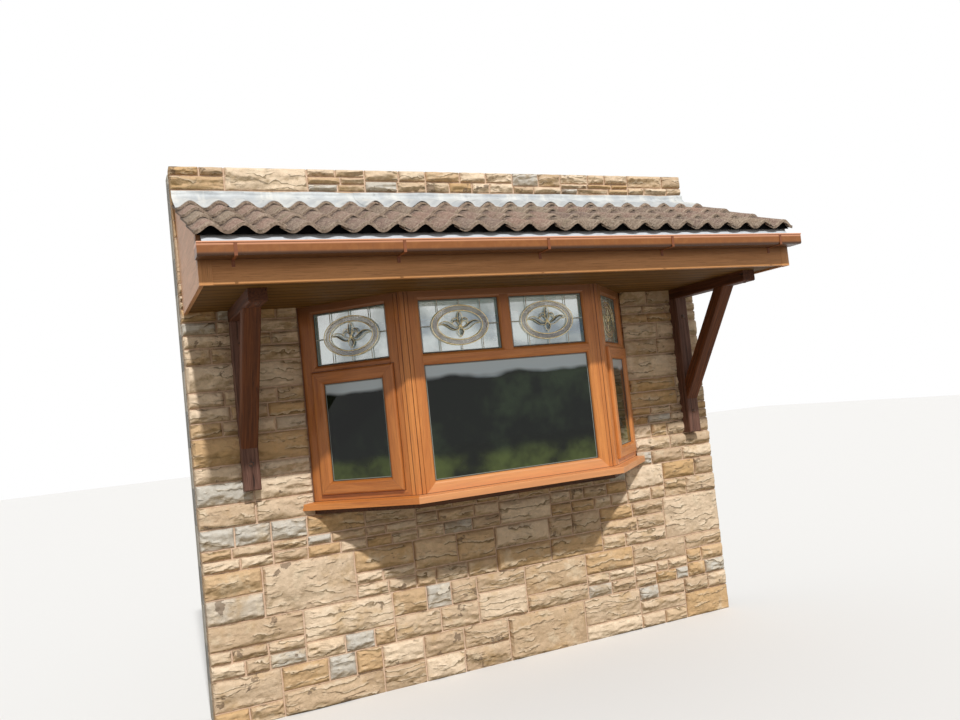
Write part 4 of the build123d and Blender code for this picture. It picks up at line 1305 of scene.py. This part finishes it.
def boardFinish(name, base, groove, pitch, offset):
    # tongued boards along X: a dark V groove every pitch across Y, each board its own tone
    finish, place = startFinish(name)
    across = place.along(inwards) - offset
    board = across // pitch
    seam = abs(across % pitch - pitch / 2).rise(pitch / 2 - 0.009, pitch / 2 - 0.002)
    grain = place.vector(place.along(sideways) * 0.05, across, place.along(up)).noise(80.0, 4.0, 0.6, 0.4)
    tone = place.vector(board * 3.7, board, 0.0).noise(1.7, 0.0)
    colour = grain.rise(0.35, 0.7).mixed(base, groove).layered(
        (tone.rise(0.3, 0.7), 0.35, (122, 82, 32)),
        (seam, 0.85, (0.008, 0.005, 0.003, 1.0)),
    )
    height = seam * -1.0 + grain * -0.05
    return endFinish(finish, place, colour, 0.68, height, 0.004, Specular_IOR_Level=0.2)


# Inner leaf: where its plaster starts, the reveals' half width and levels, and the blocks' sizes
innerLeaf = {
    "skin": (0.1366, 0.1370),
    "reveal": (1.1452, 1.1448),
    "revealLevels": (1.10, 2.56),
    "block": (0.450, 0.225),
    "blockBack": 0.13,
    "lintelSkin": (0.1480, 0.1490),
}


def wallFinish():
    # painted plaster on the room side and in the reveals, block courses elsewhere
    finish, place = startFinish("plasteredBlock")
    x, y, z = place.parts()
    foot, head = innerLeaf["revealLevels"]
    skin = y.rise(*innerLeaf["skin"]).most(abs(x).rise(*innerLeaf["reveal"]) * (z > foot) * (z < head))
    long, high = innerLeaf["block"]
    course = abs(z % high - high / 2).rise(0.1065, 0.1085)
    shift = (z // high) % 2.0 * (long / 2)
    upright = abs((x + shift) % long - long / 2).rise(0.219, 0.221)
    joint = course.most(upright * (y < innerLeaf["blockBack"]))
    grit = place.noise(260.0, 3.0, 0.7)
    pocks = place.cells(120.0).rise(0.30, 0.12)
    block = grit.rise(0.35, 0.7).mixed((158, 156, 150), (132, 130, 125)).layered(
        (pocks, 0.5, (96, 94, 90)),
        (joint, 1.0, (184, 178, 166)),
    )
    stipple = place.noise(240.0, 2.0, 0.5)
    plaster = place.noise(1.6).rise(0.3, 0.7).mixed((238, 234, 224), (229, 224, 212))
    height = (1.0 - skin) * (grit * 0.6 - pocks * 0.6 - joint * 0.8) + skin * stipple * 0.15
    return endFinish(finish, place, skin.mixed(block, plaster), skin * -0.25 + 0.92, height, 0.0035)


def concreteFinish():
    # cast lintel, plastered over on the room side
    finish, place = startFinish("castConcrete")
    grit = place.noise(180.0, 4.0, 0.7)
    holes = place.cells(55.0).rise(0.16, 0.08)
    skin = place.along(inwards).rise(*innerLeaf["lintelSkin"])
    base = grit.rise(0.3, 0.7).mixed((160, 157, 150), (136, 134, 128)).layered(
        (holes, 1.0, (88, 86, 82)),
        (skin, 1.0, (234, 230, 219)),
    )
    return endFinish(finish, place, base, 0.88, (1.0 - skin) * (grit * 0.4 - holes), 0.003)


def gutterFinish():
    # brown moulded gutter: a painted highlight along its lip, faint runs of dirt down its face, and
    # painted shade with some dirt below, where it turns under
    finish, place = startFinish("brownGutter")
    z, top = place.along(up), reach("gutter", up)[1]
    mottle = place.noise(26.0, 3.0, 0.6)
    runs = place.stretched(60.0, 8.0, 3.0).noise(1.0, 3.0, 0.6)
    base = mottle.rise(0.40, 0.75).mixed((138, 80, 26), (150, 92, 38)).layered(
        (runs.rise(0.55, 0.72), 0.28, (112, 66, 34)),
        (z.rise(top - 0.022, top - 0.012), 0.80, (238, 172, 134)),
        (z.rise(top - 0.046, top - 0.058), 0.85, (60, 32, 8)),
    )
    return endFinish(finish, place, base, mottle * 0.12 + 0.34, place.noise(900.0, 1.0), 0.00012)


# Timbers by node: finish, dark and pale tone, grain's direction, and scale and roughness if sawn
braceLow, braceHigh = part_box("bracket_braces")
braceRun = np.array([0.0, braceLow.y - braceHigh.y, braceHigh.z - braceLow.z])
sawn = (170, 132, 86), (206, 176, 130)
timbers = {
    "bracket_posts": ("stainedPost", (74, 47, 36), (122, 88, 74), up),
    "bracket_arms": ("stainedArm", (58, 30, 16), (98, 56, 32), inwards),
    "bracket_braces": ("stainedBrace", (70, 37, 18), (116, 66, 34), braceRun / np.linalg.norm(braceRun)),
    "bay_base": ("stainedBase", (60, 38, 26), (98, 66, 42), sideways),
    "canopy_trusses": ("sawnTruss", *sawn, inwards, 60.0, 0.8),
    "tile_battens": ("sawnBatten", *sawn, sideways, 70.0, 0.8),
}
for node, look in timbers.items():
    paint(stainedFinish(*look), node)
paint(wallFinish(), "inner_below", "inner_piers", "inner_above", "cavity_closers")
paint(concreteFinish(), "lintel")
paint(boardFinish("soffitBoards", (106, 72, 14), (74, 48, 8), 0.100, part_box("fascia")[1].y), "soffit")
fasciaFoot = reach("fascia", up)[0]
# painted light and shade on the fascia: a highlight along its lower edge, and shade with a little dirt
# under the gutter towards its top
fasciaLightAndShade = [
    (levelMark(fasciaFoot + 0.014, fasciaFoot + 0.009), 0.6, (216, 156, 98)),
    (levelMark(fasciaFoot + 0.055, fasciaFoot + 0.125), 0.72, (88, 52, 24)),
]
paint(foilFinish("brownFascia", sideways, up, foil["brown"], fasciaLightAndShade, sheen=0.2), "fascia")
paint(foilFinish("brownEndBoard", inwards, up, foil["brown"], sheen=0.2), "canopy_end_boards")
paint(gutterFinish(), "gutter")
paint(mouldedFinish("brownClip", (126, 68, 32), (154, 92, 52), 0.40), "gutter_clips")
paint(mouldedFinish("greyTray", (214, 218, 222), (180, 184, 186), 0.50), "eaves_tray")
whiteSatin = mouldedFinish("whiteSatin", (238, 236, 230), (226, 222, 214), 0.34, 4.0)
paint(whiteSatin, "bay_head_board", "window_board")
print("timber, boards and wall finished")


# Small fittings: corner trims of the fascia, bolts and sealant
fittings = {
    "trimWidth": 0.060,
    "trimProud": 0.0018,
    "trimInside": 0.0006,
    "trimEnds": (-0.0015, 0.0005, -0.0005, 0.0002),
    "boltLevels": (2.139, 1.457),
    "armBolt": 0.045,
    "boltHead": (0.0, 0.0055, 0.0085, 0.0100, 0.0100),
    "boltRise": (0.0084, 0.0080, 0.0066, 0.0042, 0.001),
    "washer": (0.0, 0.0150, 0.0162, 0.0162),
    "washerRise": (0.0022, 0.0022, 0.0014, -0.001),
    "sealant": 0.0055,
    "sealantSeed": 11,
}
# Window handles: a plate's rows are share of its outline and rise; a lever narrows along its path
handle = {
    "height": 1.584,
    "inset": 0.036,
    "plateHalf": (0.0125, 0.048),
    "plate": ((1.0, -0.0005), (1.0, 0.006), (0.93, 0.0085), (0.80, 0.0092)),
    "neck": (0.0095, 0.0085, 0.0080, 0.0080),
    "neckRise": (0.006, 0.012, 0.024, 0.040),
    "path": ((0, 0.012, 0.036), (0, -0.004, 0.050), (0, -0.060, 0.050), (0, -0.118, 0.044)),
    "steps": 15,
    "wide": (0.0105, 0.0070),
    "thick": (0.0060, 0.0042),
    "tip": 0.45,
}


def buildTrims():
    # an angle of moulded board round each front corner of the canopy, over the joint of fascia
    # and end board: its section is carried up from the soffit to the eaves
    low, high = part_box("fascia")
    wide, proud, thin = (fittings[key] for key in ("trimWidth", "trimProud", "trimInside"))
    outside = [(wide, proud * 0.3), (wide - 0.002, proud), (0.0, proud), (-proud * 0.7, proud * 0.7)]
    outside += [(-proud, 0.0), (-proud, 0.002 - wide), (-proud * 0.3, -wide)]
    section = np.array(outside + [(thin, -wide), (thin, -thin), (wide, -thin)])
    levels = np.array([low.z, low.z, high.z, high.z]) + fittings["trimEnds"]
    grids = []
    for hand, corner in ((-1, low.x), (1, high.x)):
        x, y = corner - hand * section[:, 0], low.y - section[:, 1]
        rows = [np.column_stack([x, y, np.full(len(section), z)]) for z in levels]
        grids.append((np.array(rows), False, True))
    # the trims carry the fascia's painted highlight and shade
    finish = foilFinish("brownTrim", up, sideways, foil["brown"], fasciaLightAndShade, sheen=0.2)
    makePiece("corner_trims", *joinGrids(grids), finish, "fascia_board")


def buildBolts():
    # coach bolts with washers through the posts' faces, and one into the outer end of each arm
    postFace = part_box("bracket_posts")[0].y
    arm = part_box("bracket_arms")[0]
    grids = []
    for hand in (-1, 1):
        middle = sum(reach("bracket_posts", sideways, hand)) / 2
        spots = [((middle, postFace, level), -inwards) for level in fittings["boltLevels"]]
        spots.append(((middle, arm.y + fittings["armBolt"], arm.z), -up))
        for centre, axis in spots:
            grids.append(turnedPiece(centre, axis, fittings["washer"], fittings["washerRise"]))
            grids.append(turnedPiece(centre, axis, fittings["boltHead"], fittings["boltRise"]))
    finish, place = startFinish("bolts")
    rust = place.noise(90.0, 4.0, 0.6)
    base = rust.rise(0.40, 0.62).mixed((70, 58, 52), (104, 66, 44))
    finish = endFinish(finish, place, base, rust * 0.3 + 0.4, rust, 0.0006, Metallic=0.6)
    makePiece("coach_bolts", *joinGrids(grids), finish)


def buildSealant():
    # a tooled bead in the corner of each wall post and the stone, a little uneven along its run
    chance = np.random.default_rng(fittings["sealantSeed"])
    foot, head = reach("wall_posts", up)
    z = np.linspace(foot + 0.002, head - 0.002, 48)[:, None]
    edge = max(abs(end) for end in reach("wall_posts", sideways))
    turn = np.linspace(0, math.pi / 2, 5)
    across = np.array([-0.002, *(1 - np.sin(turn)), -0.002])
    out = np.array([-0.006, *(1 - np.cos(turn)), 1.0])
    grids = []
    for hand in (-1, 1):
        size = fittings["sealant"] * (1 + 0.35 * ripple(chance, z, z, 5, 0.11, 0.3))
        x, y = hand * (edge + size * across), stoneFace - 0.004 - size * out
        grids.append((np.stack([x, y, np.broadcast_to(z, x.shape)], axis=-1), False, True))
    finish = mouldedFinish("brownSealant", (112, 70, 44), (140, 96, 66), 0.50)
    makePiece("frame_sealant", *joinGrids(grids), finish)


def buildHandles():
    # Lever handles on the room side of the casements: a rounded plate, a turned neck, and a lever
    # whose oval section narrows along a bent path
    cosines, sines = circle(24)
    width, height = handle["plateHalf"]
    shapeX, shapeZ = width * cosines[:, None], (width * sines + height * np.sign(sines))[:, None]
    cosines, sines = circle(14)
    share = np.linspace(0, 1, handle["steps"])[:, None]
    wide, thick = (start + (end - start) * share for start, end in (handle["wide"], handle["thick"]))
    for size in (wide, thick):
        size[[0, -1]] *= handle["tip"]
    path = bezier(handle["path"], handle["steps"])
    grids = []
    for node, hand in (("left_sash", -1), ("right_sash", 1)):
        along, inward = bayFace(hand)
        stile = reach(node, along)[hand < 0] + hand * handle["inset"]
        middle = stile * along + handle["height"] * up + reach(node, inward)[1] * inward
        rows = []
        for share, rise in handle["plate"]:
            rows.append(middle + shapeX * share * along + shapeZ * share * up + rise * inward)
        grids.append((np.array(rows), False, True))
        grids.append(turnedPiece(middle, inward, handle["neck"], handle["neckRise"]))
        spine = middle + path[:, 1:2] * up + path[:, 2:3] * inward
        lever = spine[:, None] + (wide * cosines)[..., None] * along + (thick * sines)[..., None] * inward
        grids.append((lever, False, True))
    finish = mouldedFinish("handleWhite", (232, 230, 224), (214, 210, 202), 0.30)
    makePiece("casement_handles", *joinGrids(grids), finish, "white_board")


buildTrims()
buildBolts()
buildSealant()
buildHandles()
print("fittings fixed")
